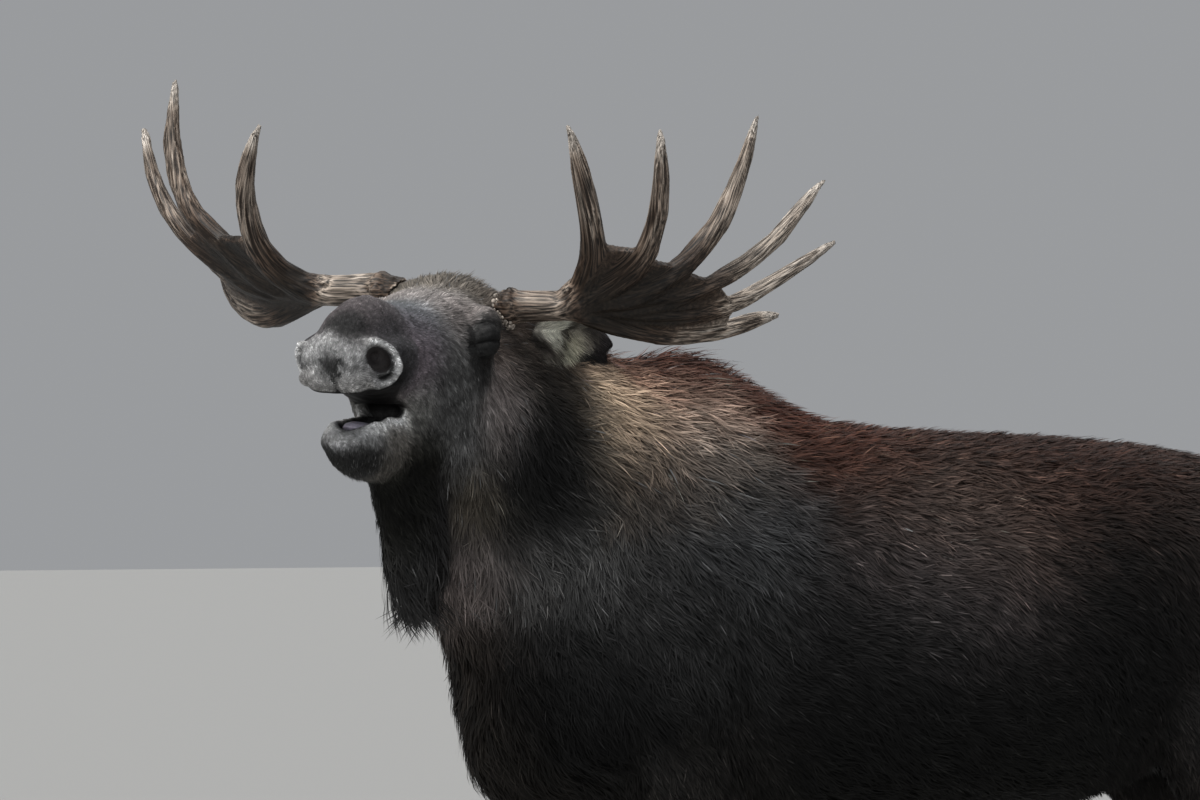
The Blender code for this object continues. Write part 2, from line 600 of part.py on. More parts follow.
def ear(side, skull, neck):
    """A leaf-shaped ear, hollowed on the side that faces out and forward."""
    length = (EAR_TIP - EAR_ROOT).length
    # Share of the length, half width, depth, and how far the hollow goes in.
    profile = ((0.0, 0.030, 0.030), (0.16, 0.040, 0.032), (0.34, 0.056, 0.030), (0.55, 0.060, 0.026),
               (0.75, 0.050, 0.020), (0.90, 0.028, 0.013), (1.0, 0.006, 0.006))
    leaf = loft("leaf", [
        (0, depth, share * length, 0, -depth * 0.30, share * length, width, 0, 0.25, 0.9, 0.9)
        for share, width, depth in profile
    ], steps=1, around=12)
    hollow = loft("hollow", [
        (0, depth * 0.72 - 0.004, share * length, 0, -0.05, share * length, width * 0.86, 0, 0.62, 0.9, 0.6)
        for share, width, depth in ((0.20, 0.030, 0.026), *profile[2:5], (0.88, 0.026, 0.013))
    ], steps=1, around=12)
    cupped = less(leaf, hollow)
    along = (EAR_TIP - EAR_ROOT).normalized()
    out = (EAR_FACING - along * EAR_FACING.dot(along)).normalized()
    axes = Matrix((out.cross(along) * -1, -out, along)).transposed().to_4x4()
    where = HEAD @ Matrix.Diagonal((side, 1, 1, 1)) @ Matrix.Translation(EAR_ROOT) @ axes
    cupped.data.transform(where)
    if where.to_3x3().determinant() < 0:
        cupped.data.flip_normals()
    cupped.name = "ear_left" if side > 0 else "ear_right"
    return less(less(cupped, swollen(skull, GAP)), swollen(neck, GAP))


def eye_place(side):
    return HEAD @ Vector((side * EYE[0], -EYE[1], EYE[2]))


def tail_form():
    """A short tapering tail, hanging against the rump."""
    return rod("tail", [(0, 1.455, 1.535, 0.030), (0, 1.500, 1.520, 0.034), (0, 1.535, 1.475, 0.032),
                        (0, 1.548, 1.425, 0.022), (0, 1.550, 1.395, 0.010)], steps=3)


# ---------------------------------------------------------------- materials
# Colour, roughness and metallic of each kind of surface.
SURFACES = {
    "coat": ((0.045, 0.035, 0.030), 0.75, 0.0),
    "face": ((0.075, 0.068, 0.066), 0.70, 0.0),
    "leg": ((0.150, 0.130, 0.110), 0.75, 0.0),
    "antler": ((0.240, 0.175, 0.125), 0.55, 0.0),
    "hoof": ((0.030, 0.026, 0.024), 0.45, 0.0),
    "eye": ((0.015, 0.010, 0.008), 0.08, 0.0),
    "tongue": ((0.300, 0.270, 0.310), 0.35, 0.0),
}
# The first word of a node's name says its surface, and the rest of the flesh is coat.
SURFACE_OF = {"head": "face", "jaw": "face", "ear": "face", "leg": "leg", "antler": "antler",
              "hoof": "hoof", "dewclaw": "hoof", "eye": "eye", "tongue": "tongue"}


def dressed(obj):
    """Gives the node a material of its own and shades it round, with an edge where it turns sharply."""
    colour, roughness, metallic = SURFACES[SURFACE_OF.get(obj.name.split("_")[0], "coat")]
    made = bpy.data.materials.new(obj.name)
    made.use_nodes = True
    shader = made.node_tree.nodes["Principled BSDF"]
    shader.inputs["Base Color"].default_value = (*colour, 1)
    shader.inputs["Roughness"].default_value = roughness
    shader.inputs["Metallic"].default_value = metallic
    obj.data.materials.clear()
    obj.data.materials.append(made)
    obj.data.shade_smooth()
    obj.data.set_sharp_from_angle(angle=math.radians(50))


# ---------------------------------------------------------------- the flesh, whole and then parted
def spared(point):
    """The head keeps more of its triangles than the body: 1 at the muzzle, 0 past the neck."""
    near = HEAD.inverted() @ point
    distance = max(0.0, (near - Vector((0, -0.33, -0.18))).length - 0.36)
    return 0.15 * max(0.0, 1 - distance / 0.25)


flesh_forms = trunk_forms() + [neck_form(), dewlap_form(), tail_form()] + head_forms() + [jaw_form()]
for name, (side, _, stride) in FEET.items():
    flesh_forms.append((foreleg_form if "front" in name else hindleg_form)(side, stride))
flesh = blended("flesh", flesh_forms, BODY_VOXEL, 7, BODY_TRIANGLES, spared)

for side in (1, -1):
    flesh = less(flesh, ball("nostril", HEAD @ Vector((side * 0.080, -0.612, -0.130)), (0.018, 0.024, 0.015),
                             (0, 15, math.degrees(HEAD_YAW) + side * 35), segments=10))
    flesh = less(flesh, ball("socket", eye_place(side), [EYE_RADIUS + GAP] * 3, segments=12))
flesh = less(flesh, mouth_form())
trough = ball("trough", (0, -0.445, -0.256), (0.036, 0.092, 0.024), (-5, 0, 0), HEAD, 12)
flesh = less(flesh, trough)

# Below the coronets the feet are hoof, so the flesh ends there on a sloping flat.
for side, middle, stride in FEET.values():
    flesh = less(flesh, coronet_box(side, middle + stride - 0.005, False))

turn = HEAD.to_3x3()
across = turn @ Vector((1, 0, 0))
slabs = [
    # head from neck: down behind the ears and out through the throat
    cut_slab(HEAD @ Vector((0, 0.104, -0.200)), turn @ Vector((0, 1, -0.43)), across, 0.5, 0.70),
    # jaw from head: back from the corners of the mouth
    cut_slab(HEAD @ Vector((0, -0.150, -0.2926)), turn @ Vector((0, 0.24, 1)), across, 0.36, 0.53),
    # dewlap from throat
    cut_slab(HEAD @ Vector((0.01, -0.1575, -0.4555)), turn @ Vector((0, 0.373, 1)), across, 0.2, 0.436),
    # dewlap from the front of the neck
    cut_slab(HEAD @ Vector((0.02, 0.085, -0.608)), turn @ Vector((0, 0.832, 0.555)), across, 0.24, 0.22),
    # neck from trunk
    cut_slab((0, -0.20, 1.52), (0.05, -0.80, 0.42), (1, 0, 0), 0.8, 1.1),
    # tail from rump
    cut_slab((0, 1.512, 1.47), (0, 1, 0.18), (1, 0, 0), 0.2, 0.22),
]
labels = {
    "head": HEAD @ Vector((0, -0.25, -0.16)),
    "jaw": HEAD @ Vector((0, -0.25, -0.37)),
    "dewlap": HEAD @ Vector((0, -0.12, -0.56)),
    "neck": (0.08, -0.35, 1.65),
    "trunk": (0, 0.60, 1.42),
    "tail": (0, 1.54, 1.44),
}
for name, (side, middle, stride) in FEET.items():
    front = "front" in name
    joint = KNEE_HEIGHT if front else HOCK_HEIGHT
    lean = stride * (1 - joint / 1.05)
    if front:
        top, top_y = ELBOW_HEIGHT - 0.10, 0.02
        joint_y, tilt = -0.005 + lean, (side * -0.30, 0, 1)
    else:
        top, top_y = 0.985, 1.26
        joint_y, tilt = 1.375 + lean, (side * 0.35, -0.30, 1)
    slabs.append(cut_slab((side * 0.19, top_y, top), tilt, (1, 0, 0), 0.30, 0.60))
    slabs.append(cut_slab((side * 0.17, joint_y, joint - 0.055), (0, 0.05, 1), (1, 0, 0), 0.2, 0.24))
    labels[f"leg_{name}_upper"] = (side * 0.178, top_y, (top + joint) / 2)
    labels[f"leg_{name}_lower"] = (side * 0.167, joint_y, joint / 2)
nodes = parted(flesh, slabs, labels)

skull = nodes["head"]
for side in (1, -1):
    nodes.update(antler(side, skull))
    made = ear(side, skull, nodes["neck"])
    nodes[made.name] = made
    word = "left" if side > 0 else "right"
    nodes[f"eye_{word}"] = ball(f"eye_{word}", eye_place(side), [EYE_RADIUS] * 3, segments=12)
nodes["tongue"] = tongue_form(nodes["jaw"])
for name, (side, middle, stride) in FEET.items():
    for half, word in ((1, "outer"), (-1, "inner")):
        toe = f"hoof_{name}_{word}"
        nodes[toe] = hoof_form(toe, side, middle + stride, half * side)
        claw = f"dewclaw_{name}_{word}"
        nodes[claw] = dewclaw_form(claw, side, middle + stride, half * side, nodes[f"leg_{name}_lower"])

# ---------------------------------------------------------------- finish: looks and origin
# The origin is on the ground under the middle of the whole moose, tips of the antlers included.
corners = np.array([vert.co for obj in nodes.values() for vert in obj.data.vertices])
low, high = corners.min(0), corners.max(0)
shift = Vector((-(low[0] + high[0]) / 2, -(low[1] + high[1]) / 2, -low[2]))
for obj in nodes.values():
    obj.data.transform(Matrix.Translation(shift))
    dressed(obj)
print("moved by", [round(part, 4) for part in shift], "size", [round(part, 4) for part in high - low])
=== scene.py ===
# %% [markdown]
# # A bull moose, calling
# A moose in its autumn coat is a dark, shaggy animal with a bare-looking grey face, a speckled
# nose and wide antlers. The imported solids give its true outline, out to the tips of the coat.
# This script dresses them: one skin without seams lies inside them by the depth of the coat,
# locks of hair grow over it along the lie of the coat, and the antlers get their ridges, burrs
# and worn tips. Hair could be a particle system, but an export keeps only meshes, so every
# lock here is a thin strip of mesh of its own.
# %% Load the frame
import math

import bmesh
import bpy
import numpy as np
from mathutils import Matrix, Vector
from mathutils.bvhtree import BVHTree


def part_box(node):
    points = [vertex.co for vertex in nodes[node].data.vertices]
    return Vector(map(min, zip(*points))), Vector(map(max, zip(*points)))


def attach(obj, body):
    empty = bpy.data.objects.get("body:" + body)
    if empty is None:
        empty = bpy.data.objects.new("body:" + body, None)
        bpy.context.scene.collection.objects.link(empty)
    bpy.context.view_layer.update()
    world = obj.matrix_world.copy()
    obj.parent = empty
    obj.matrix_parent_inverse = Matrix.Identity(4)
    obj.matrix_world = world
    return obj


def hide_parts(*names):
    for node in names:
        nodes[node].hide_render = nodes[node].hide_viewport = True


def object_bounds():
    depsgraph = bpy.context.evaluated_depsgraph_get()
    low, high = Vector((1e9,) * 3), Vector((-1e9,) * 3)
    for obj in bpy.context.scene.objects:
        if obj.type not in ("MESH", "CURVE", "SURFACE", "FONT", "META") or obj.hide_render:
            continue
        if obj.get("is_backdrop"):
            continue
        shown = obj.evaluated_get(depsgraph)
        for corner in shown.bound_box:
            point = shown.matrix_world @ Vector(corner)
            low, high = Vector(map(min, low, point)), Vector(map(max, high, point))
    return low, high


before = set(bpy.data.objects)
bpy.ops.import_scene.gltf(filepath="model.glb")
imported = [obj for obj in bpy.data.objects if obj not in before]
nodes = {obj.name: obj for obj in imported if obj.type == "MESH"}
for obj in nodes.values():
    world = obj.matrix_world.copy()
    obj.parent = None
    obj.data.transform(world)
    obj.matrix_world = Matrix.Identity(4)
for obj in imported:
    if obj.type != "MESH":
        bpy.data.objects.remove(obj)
size_of_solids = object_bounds()
print(len(nodes), "nodes,", [round(b - a, 3) for a, b in zip(*size_of_solids)])

# %% [markdown]
# ## Two frames of reference
# The coat is easier to describe from the animal's own landmarks. The body's frame starts on the
# floor between the forefeet, with y running back. The head's frame starts at the poll, between
# the antlers, and reads left, forward and up of a head that looks round to its left.
# %% Body and head frames
left_toe, right_toe = (np.array(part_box(f"hoof_front_{side}_outer")) for side in ("left", "right"))
TOE_AHEAD = 0.136  # how far the left forefoot's toe reaches ahead of the origin
FEET = np.array(((left_toe[1, 0] + right_toe[0, 0]) / 2, left_toe[0, 1] + TOE_AHEAD, 0.0))
POLL = FEET + (0.182, -0.525, 2.005)
HEAD_YAW = math.radians(50.5)
HEAD_ROLL = math.radians(4)
HEAD_TURN = np.array(Matrix.Rotation(HEAD_YAW, 3, "Z") @ Matrix.Rotation(HEAD_ROLL, 3, "Y")) * (1, -1, 1)


def from_head(spots):
    """Places given as left, forward and up of the poll, in the row frame."""
    return POLL + np.asarray(spots, float) @ HEAD_TURN.T


def to_head(points):
    """Row-frame places read left, forward and up of the poll."""
    return (points - POLL) @ HEAD_TURN


print("nose near", from_head((0, 0.64, -0.14)).round(3))

# %% [markdown]
# ## Small tools
# Natural surfaces are never even, so most steps need a smooth random field. A sum of a few sine
# waves in random directions gives one that is the same on every run. Relaxing values over the
# edges of a mesh smooths shapes, normals and anything else that lives on its points.
# %% Tools for numbers
def ripples(points, size, seed, waves=20):
    """A smooth random field of about that size, near 0 and mostly between -2 and 2."""
    rng = np.random.default_rng(seed)
    ways = rng.normal(size=(waves, 3))
    ways /= np.linalg.norm(ways, axis=1, keepdims=True)
    ways *= 2 * math.pi / size * rng.uniform(0.5, 1.5, (waves, 1))
    return np.sin(points @ ways.T + rng.uniform(0, 2 * math.pi, waves)).sum(1) / math.sqrt(waves / 2)


def relax(values, ends, rounds, amount=0.5):
    """Each value moves towards the mean of its neighbours', so many times."""
    a, b = ends.T
    size = len(values)
    count = np.maximum(np.bincount(a, minlength=size) + np.bincount(b, minlength=size), 1)
    for _ in range(rounds):
        mean = np.empty_like(values)
        for k in range(values.shape[1]):
            mean[:, k] = (np.bincount(a, values[b, k], size) + np.bincount(b, values[a, k], size)) / count
        values = values + amount * (mean - values)
    return values


def unit(vectors):
    """The same directions with a length of 1."""
    return vectors / np.maximum(np.linalg.norm(vectors, axis=-1, keepdims=True), 1e-9)


def step(value, low, high):
    """0 below low, 1 above high and smooth between."""
    t = np.clip((value - low) / (high - low), 0, 1)
    return t * t * (3 - 2 * t)


print("ripples run from", ripples(np.random.default_rng(1).uniform(0, 1, (500, 3)), 0.1, 2).min().round(2))


# %% Tools for meshes
def points_of(mesh):
    """The places of a mesh's points."""
    co = np.empty(len(mesh.vertices) * 3, np.float32)
    mesh.vertices.foreach_get("co", co)
    return co.reshape(-1, 3).astype(float)


def normals_of(mesh):
    """The normals at a mesh's points."""
    found = np.empty(len(mesh.vertices) * 3, np.float32)
    mesh.vertex_normals.foreach_get("vector", found)
    return found.reshape(-1, 3).astype(float)


def edges_of(mesh):
    """The two points of each edge."""
    ends = np.empty(len(mesh.edges) * 2, np.int32)
    mesh.edges.foreach_get("vertices", ends)
    return ends.reshape(-1, 2)


def put_points(mesh, co):
    """Moves a mesh's points to these places."""
    mesh.vertices.foreach_set("co", co.astype(np.float32).ravel())
    mesh.update()


def new_object(name, mesh):
    """An object for the mesh, in the scene."""
    obj = bpy.data.objects.new(name, mesh)
    bpy.context.scene.collection.objects.link(obj)
    return obj


def baked(obj, name):
    """The object's shape with its modifiers applied, as a new plain object."""
    bpy.context.view_layer.update()
    graph = bpy.context.evaluated_depsgraph_get()
    mesh = bpy.data.meshes.new_from_object(obj.evaluated_get(graph))
    bpy.data.objects.remove(obj)
    mesh.name = name
    return new_object(name, mesh)


def merged_copies(names, name, grow):
    """Copies of CAD nodes in one mesh, each grown outwards by grow(node name) metres."""
    whole = bmesh.new()
    for node in names:
        one = bmesh.new()
        one.from_mesh(nodes[node].data)
        bmesh.ops.remove_doubles(one, verts=one.verts, dist=1e-5)
        bmesh.ops.recalc_face_normals(one, faces=one.faces)
        one.normal_update()
        for vert in one.verts:
            vert.co += vert.normal * grow(node)
        spare = bpy.data.meshes.new("spare")
        one.to_mesh(spare)
        one.free()
        whole.from_mesh(spare)
        bpy.data.meshes.remove(spare)
    mesh = bpy.data.meshes.new(name)
    whole.to_mesh(mesh)
    whole.free()
    return new_object(name, mesh)


def melted(obj, name, voxel):
    """The object's overlapping shells as one closed shell."""
    melt = obj.modifiers.new("Melt", "REMESH")
    melt.mode = "VOXEL"
    melt.voxel_size = voxel
    return baked(obj, name)


print("facets of the head before melting", len(nodes["head"].data.polygons))

# %% [markdown]
# ## The groom
# A coat is described here as a groomer would: at some landmarks, which way the hair runs, how
# long it is, how far it stands off the skin and how wide a lock is. Every hair root between them
# takes a blend of the landmarks near it. Hair runs from the nose back over the face, down the
# cheeks and throat, back along the neck, hump and flanks, and down the legs. Combing by hand
# would do as well, but a table of landmarks can be read, changed and run again.
# %% Landmarks of the coat
# Frame, place, reach, way the hair runs, then length, rise and lock width in millimetres.
# Landmarks off the middle stand for both sides.
GROOM = {
    "nose tip": ("head", (0, 0.64, -0.13), 0.035, (0, -0.2, 1), 5, 1.0, 0.9),
    "upper lip": ("head", (0.05, 0.60, -0.18), 0.035, (0.7, -0.6, 0.2), 6, 1.2, 0.9),
    "muzzle side": ("head", (0.095, 0.50, -0.12), 0.05, (0.1, -1, 0.1), 8, 1.2, 1.1),
    "muzzle top": ("head", (0, 0.50, -0.02), 0.06, (0, -1, 0.1), 8, 1.2, 1.1),
    "bridge": ("head", (0, 0.30, -0.02), 0.07, (0, -1, 0.1), 13, 2.0, 1.3),
    "nose side": ("head", (0.08, 0.33, -0.12), 0.06, (0.15, -1, -0.3), 14, 2.0, 1.4),
    "forehead": ("head", (0, 0.13, 0.0), 0.06, (0, -1, 0.2), 26, 4, 1.7),
    "temple": ("head", (0.09, 0.12, -0.02), 0.05, (0.5, -1, 0.0), 20, 3, 1.5),
    "poll": ("head", (0, -0.03, 0.03), 0.05, (0, -0.8, 0.55), 40, 9, 2.2),
    "antler foot": ("head", (0.09, -0.045, 0.0), 0.04, (0.5, -0.5, 0.6), 22, 6, 1.8),
    "eye": ("head", (0.135, 0.068, -0.09), 0.028, (0.3, -1, -0.2), 5, 0.8, 0.9),
    "under the eye": ("head", (0.12, 0.09, -0.17), 0.05, (0.1, -0.7, -0.7), 16, 2.5, 1.4),
    "cheek": ("head", (0.13, 0.0, -0.25), 0.07, (0.0, -0.35, -1), 30, 5, 1.8),
    "cheek front": ("head", (0.10, 0.20, -0.22), 0.06, (0.0, -0.6, -0.8), 18, 3, 1.5),
    "mouth side": ("head", (0.09, 0.38, -0.21), 0.04, (0, -0.9, -0.4), 9, 1.5, 1.2),
    "lower lip": ("head", (0.035, 0.53, -0.27), 0.03, (0.2, -0.5, -0.8), 7, 1.2, 1.0),
    "chin": ("head", (0, 0.50, -0.35), 0.05, (0, -0.5, -0.9), 20, 4, 1.5),
    "jaw side": ("head", (0.065, 0.35, -0.32), 0.06, (0, -0.7, -0.7), 20, 3.5, 1.6),
    "jaw under": ("head", (0, 0.25, -0.38), 0.06, (0, -0.8, -0.6), 30, 6, 1.8),
    "jaw corner": ("head", (0.12, 0.0, -0.36), 0.06, (0, -0.2, -1), 42, 8, 2.0),
    "behind the jaw": ("head", (0.16, -0.08, -0.25), 0.07, (0.1, -0.6, -0.9), 45, 9, 2.2),
    "behind the ear": ("head", (0.13, -0.17, -0.12), 0.05, (0.2, -1, -0.3), 32, 7, 2.0),
    "throat": ("head", (0, 0.08, -0.43), 0.06, (0, -0.1, -1), 55, 10, 2.2),
    "bell": ("head", (0, 0.12, -0.54), 0.07, (0, -0.05, -1), 85, 14, 2.6),
    "bell end": ("head", (0, 0.12, -0.66), 0.06, (0, -0.05, -1), 125, 24, 3.2),
    "neck front": ("body", (0.05, -0.48, 1.40), 0.10, (0, 0.05, -1), 70, 15, 2.8),
    "neck side": ("body", (0.24, -0.32, 1.62), 0.10, (0.1, 0.5, -1), 60, 13, 2.8),
    "far neck side": ("body", (-0.12, -0.32, 1.62), 0.10, (-0.1, 0.6, -1), 60, 13, 2.8),
    "neck top": ("body", (0.08, -0.36, 1.93), 0.09, (-0.2, 1, -0.1), 75, 20, 2.8),
    "neck shelf": ("body", (0.17, -0.28, 1.80), 0.08, (0.05, 0.9, -0.5), 65, 16, 2.8),
    "neck foot": ("body", (0.20, -0.20, 1.38), 0.10, (0.1, 0.35, -1), 60, 14, 2.8),
    "brisket": ("body", (0, -0.36, 1.12), 0.10, (0, 0.25, -1), 70, 16, 2.8),
    "hump": ("body", (0, 0.03, 1.90), 0.12, (0, 1, 0.05), 85, 24, 3.0),
    "hump side": ("body", (0.17, 0.03, 1.74), 0.12, (0.2, 0.8, -0.6), 62, 16, 2.9),
    "behind the hump": ("body", (0, 0.33, 1.78), 0.12, (0, 1, -0.15), 60, 15, 2.9),
    "back": ("body", (0, 0.85, 1.71), 0.25, (0, 1, 0), 42, 10, 3.1),
    "back side": ("body", (0.22, 0.60, 1.62), 0.20, (0.3, 0.9, -0.45), 42, 10, 3.1),
    "shoulder": ("body", (0.28, -0.02, 1.42), 0.14, (0.1, 0.5, -0.9), 46, 11, 2.8),
    "shoulder point": ("body", (0.20, -0.24, 1.20), 0.11, (0.2, 0.5, -0.9), 48, 11, 2.8),
    "ribs": ("body", (0.32, 0.50, 1.32), 0.22, (0, 0.9, -0.5), 42, 10, 3.1),
    "belly side": ("body", (0.25, 0.60, 1.05), 0.15, (-0.1, 0.9, -0.5), 46, 11, 3.2),
    "belly": ("body", (0, 0.60, 0.94), 0.18, (0, 1, -0.2), 44, 11, 3.4),
    "chest under": ("body", (0, -0.05, 0.94), 0.14, (0, 1, -0.3), 48, 11, 3.4),
    "flank": ("body", (0.28, 1.00, 1.25), 0.14, (0, 0.7, -0.7), 38, 9, 3.2),
    "groin": ("body", (0.08, 1.10, 1.02), 0.10, (0, 0.3, -0.9), 26, 6, 2.3),
    "haunch": ("body", (0.24, 1.25, 1.35), 0.16, (0, 0.45, -0.9), 38, 8, 3.3),
    "rump": ("body", (0, 1.30, 1.64), 0.14, (0, 1, -0.3), 40, 9, 3.2),
    "buttock": ("body", (0.10, 1.48, 1.30), 0.12, (0, 0.1, -1), 36, 8, 3.3),
    "elbow": ("body", (0.20, 0.05, 1.00), 0.10, (0, 0.3, -1), 36, 8, 2.5),
    "forearm": ("body", (0.18, 0.02, 0.76), 0.09, (0, 0.1, -1), 24, 4.5, 2.5),
    "knee": ("body", (0.17, 0.02, 0.52), 0.08, (0, 0.05, -1), 18, 2.5, 2.4),
    "front cannon": ("body", (0.17, 0.02, 0.32), 0.10, (0, 0.05, -1), 18, 2.5, 2.4),
    "front pastern": ("body", (0.17, 0.02, 0.12), 0.06, (0, -0.2, -1), 18, 3, 2.4),
    "gaskin": ("body", (0.17, 1.28, 0.86), 0.10, (0, 0.15, -1), 26, 5, 2.6),
    "hock": ("body", (0.17, 1.38, 0.60), 0.08, (0, 0.1, -1), 18, 2.8, 2.4),
    "hind cannon": ("body", (0.17, 1.42, 0.34), 0.10, (0, 0, -1), 18, 2.5, 2.4),
    "hind pastern": ("body", (0.17, 1.42, 0.12), 0.06, (0, -0.2, -1), 18, 3, 2.4),
    "tail": ("body", (0, 1.55, 1.46), 0.06, (0, 0.1, -1), 45, 8, 2.4),
}


def both_sides(frame_name, place, way):
    """The row-frame places and ways of a landmark, and of its twin on the other side."""
    made = []
    paired = abs(place[0]) > 0.03 and (frame_name == "head" or place[1] > -0.25)
    for side in ((1, -1) if paired else (1,)):
        mirror = np.array((side, 1, 1))
        if frame_name == "head":
            made.append((from_head(mirror * place), HEAD_TURN @ (mirror * way)))
        else:
            made.append((FEET + mirror * place, mirror * way))
    return made


def weights_of(points, spots, reach, chunk=50000):
    """The weight of each landmark at each point, in chunks of points to save memory."""
    for first in range(0, len(points), chunk):
        far = ((points[first:first + chunk, None, :] - spots) ** 2).sum(2) / reach**2
        yield np.exp(-0.5 * (far - far.min(1, keepdims=True)))


class Groom:
    """The landmarks as arrays, and the blend of them at any points."""

    def __init__(self, landmarks):
        """Takes rows like those of GROOM."""
        rows = [(spot, reach, way, length, rise, width)
                for where, place, reach, run, length, rise, width in landmarks
                for spot, way in both_sides(where, place, run)]
        self.spots = np.array([row[0] for row in rows])
        self.reach = np.array([row[1] for row in rows])
        self.ways = unit(np.array([row[2] for row in rows]))
        self.sizes = np.array([row[3:] for row in rows]) / 1000

    def at(self, points):
        """The way, and the length, rise and width in metres, at each point."""
        ways, sizes = [], []
        for weight in weights_of(points, self.spots, self.reach):
            share = weight / self.reach
            share /= share.sum(1, keepdims=True)
            ways.append(share @ self.ways)
            sizes.append(np.exp(share @ np.log(self.sizes)))
        return unit(np.concatenate(ways)), np.concatenate(sizes)


groom = Groom(GROOM.values())
at_the_hump = groom.at(FEET + [[0, 0.03, 1.9]])[1] * 1000
print(len(groom.spots), "landmarks; at the hump a lock is", at_the_hump.round(1), "mm")

# %% [markdown]
# ## The skin
# Copies of all flesh nodes are grown by a hair, so that they overlap across the thin cuts, and
# are melted into one shell. Joining them with booleans would keep the creases between them,
# and a voxel remesh rounds them off as flesh does. Relaxing the shell takes the facets away,
# more on the body than on the head. Far from the head it is then thinned, and round the eyes,
# nostrils and lips it is made finer, because that is where folds have to be modelled.
# %% Melt the flesh into one skin
FLESH_WORDS = ("trunk", "neck", "head", "jaw", "dewlap", "tail", "leg", "ear")
flesh = sorted(name for name in nodes if name.split("_")[0] in FLESH_WORDS)
eyes = sorted(name for name in nodes if name.startswith("eye"))
EAR_SWELL = 0.0015  # so that the voxels can hold the thin ears
EYE = np.array((0.131, 0.066, -0.086))
EYES = from_head([EYE, EYE * (-1, 1, 1)])


def near_head(points):
    """1 on the face and ears, 0 from the middle of the neck on."""
    return 1 - step(np.linalg.norm(to_head(points) - (0, 0.20, -0.17), axis=1), 0.44, 0.58)


OVERLAP = 0.0006  # far enough to close the cuts between the solids
shell = merged_copies(flesh + eyes, "skin", lambda name: EAR_SWELL if name.startswith("ear") else OVERLAP)
shell = melted(shell, "skin", 0.006)
co = points_of(shell.data)
ends = edges_of(shell.data)
on_face = near_head(co)
rounds = 30
co = relax(co, ends, rounds, 0.6 * (1 - on_face)[:, None])
co = relax(co, ends, 6)
put_points(shell.data, co)
thin = shell.modifiers.new("Thin", "DECIMATE")
SKIN_TRIANGLES = 145000
thin.ratio = min(1.0, SKIN_TRIANGLES / (2 * len(shell.data.polygons)))
group = shell.vertex_groups.new(name="thin")
for value in range(5):
    group.add(np.nonzero(np.round((1 - on_face) * 4) == value)[0].tolist(), value / 4, "REPLACE")
thin.vertex_group = group.name
thin.vertex_group_factor = 1.0
shell = baked(shell, "skin")
print("skin", len(shell.data.vertices), "points,", len(shell.data.polygons), "faces")

# %% [markdown]
# ## Folds of the face
# A calling bull wrinkles its whole face. The lids of the shut eyes are two soft rolls over the
# eyeball. The nostrils are wide commas with a thick rolled rim, the upper lip has a furrow down
# its middle, and the lower lip stands up round the tongue. One could sculpt these by hand. Here
# each fold is a push along the skin's normal that fades with the distance from a line or a
# spot, so its place and depth are plain numbers. The mesh is made finer there first.
# %% Finer mesh where the folds are
NOSTRILS = np.array([(0.079, 0.595, -0.133), (-0.079, 0.591, -0.148)])
LOWER_LIP = np.array([(0.0, 0.53, -0.275), (0.035, 0.44, -0.265)])


def refine(mesh, spots, reach, shortest):
    """Splits every edge longer than shortest near the spots."""
    bm = bmesh.new()
    bm.from_mesh(mesh)
    places = [Vector(spot) for spot in spots]
    chosen = [edge for edge in bm.edges
              if edge.calc_length() > shortest
              and any((edge.verts[0].co - place).length < reach for place in places)]
    bmesh.ops.subdivide_edges(bm, edges=chosen, cuts=1)
    bmesh.ops.triangulate(bm, faces=bm.faces)
    bm.to_mesh(mesh)
    bm.free()


refine(shell.data, EYES, 0.075, 0.0035)
refine(shell.data, EYES, 0.060, 0.0022)
refine(shell.data, from_head(NOSTRILS), 0.075, 0.0035)
refine(shell.data, from_head(LOWER_LIP), 0.060, 0.0035)
print("skin", len(shell.data.vertices), "points after refining")

# %% A narrower bridge of the nose
co = points_of(shell.data)
ends = edges_of(shell.data)
co = relax(co, ends, 2, 0.5 * near_head(co)[:, None])
# The bridge is narrower than the flaring nostrils, and the right one hangs a little lower.
place = to_head(co)
bridge = step(place[:, 2], -0.112, -0.080) * step(place[:, 1], 0.30, 0.45)
moved = place * np.column_stack([1 - 0.28 * bridge, np.ones_like(place[:, :2])])
RIGHT_NOSTRIL = (-0.090, 0.585, -0.118)
hangs = np.exp(-((np.linalg.norm(place - RIGHT_NOSTRIL, axis=1) / 0.036) ** 2))
moved[:, 2] -= 0.016 * hangs
co = co + near_head(co)[:, None] * ((moved - place) @ HEAD_TURN.T)
print("the bridge moves in by up to", (np.abs(moved - place)[:, 0].max() * 1000).round(1), "mm")
put_points(shell.data, co)
way_out = unit(relax(normals_of(shell.data), ends, 4))
place = to_head(co)
sides = np.sign(place[:, 0])
mirrored = np.where(sides == 0, 1, sides)[:, None] * (1, 0, 0) + (0, 1, 1)
folded = place * mirrored  # both halves of the head read as if on the left


def roll(distance, centre, width):
    """1 at the centre of a roll or groove, fading to 0 over twice its width."""
    return np.exp(-(((distance - centre) / width) ** 2))


# %% Lids of the shut eyes
LIDS = np.array((0.116, 0.080, -0.088))
LIDS_RADIUS = 0.041
slit_way = unit(np.array((0.68, -0.71, 0.18)))
lids_out = unit(np.array((0.72, 0.69, 0.0)))
lids_up = np.cross(lids_out, slit_way)
lids_up *= np.sign(lids_up[2])


def on_lids(places):
    """Along the slit, across it, and 1 on the outer side, for places in the head's frame."""
    off = places - LIDS
    out = off @ lids_out
    along = LIDS_RADIUS * np.arctan2(off @ slit_way, np.maximum(out, 0.005))
    outer = step(out, -0.012, 0.010) * step(0.085 - np.linalg.norm(off, axis=1), 0, 0.02)
    return along, off @ lids_up + 0.001 + 2.5 * along**2, outer


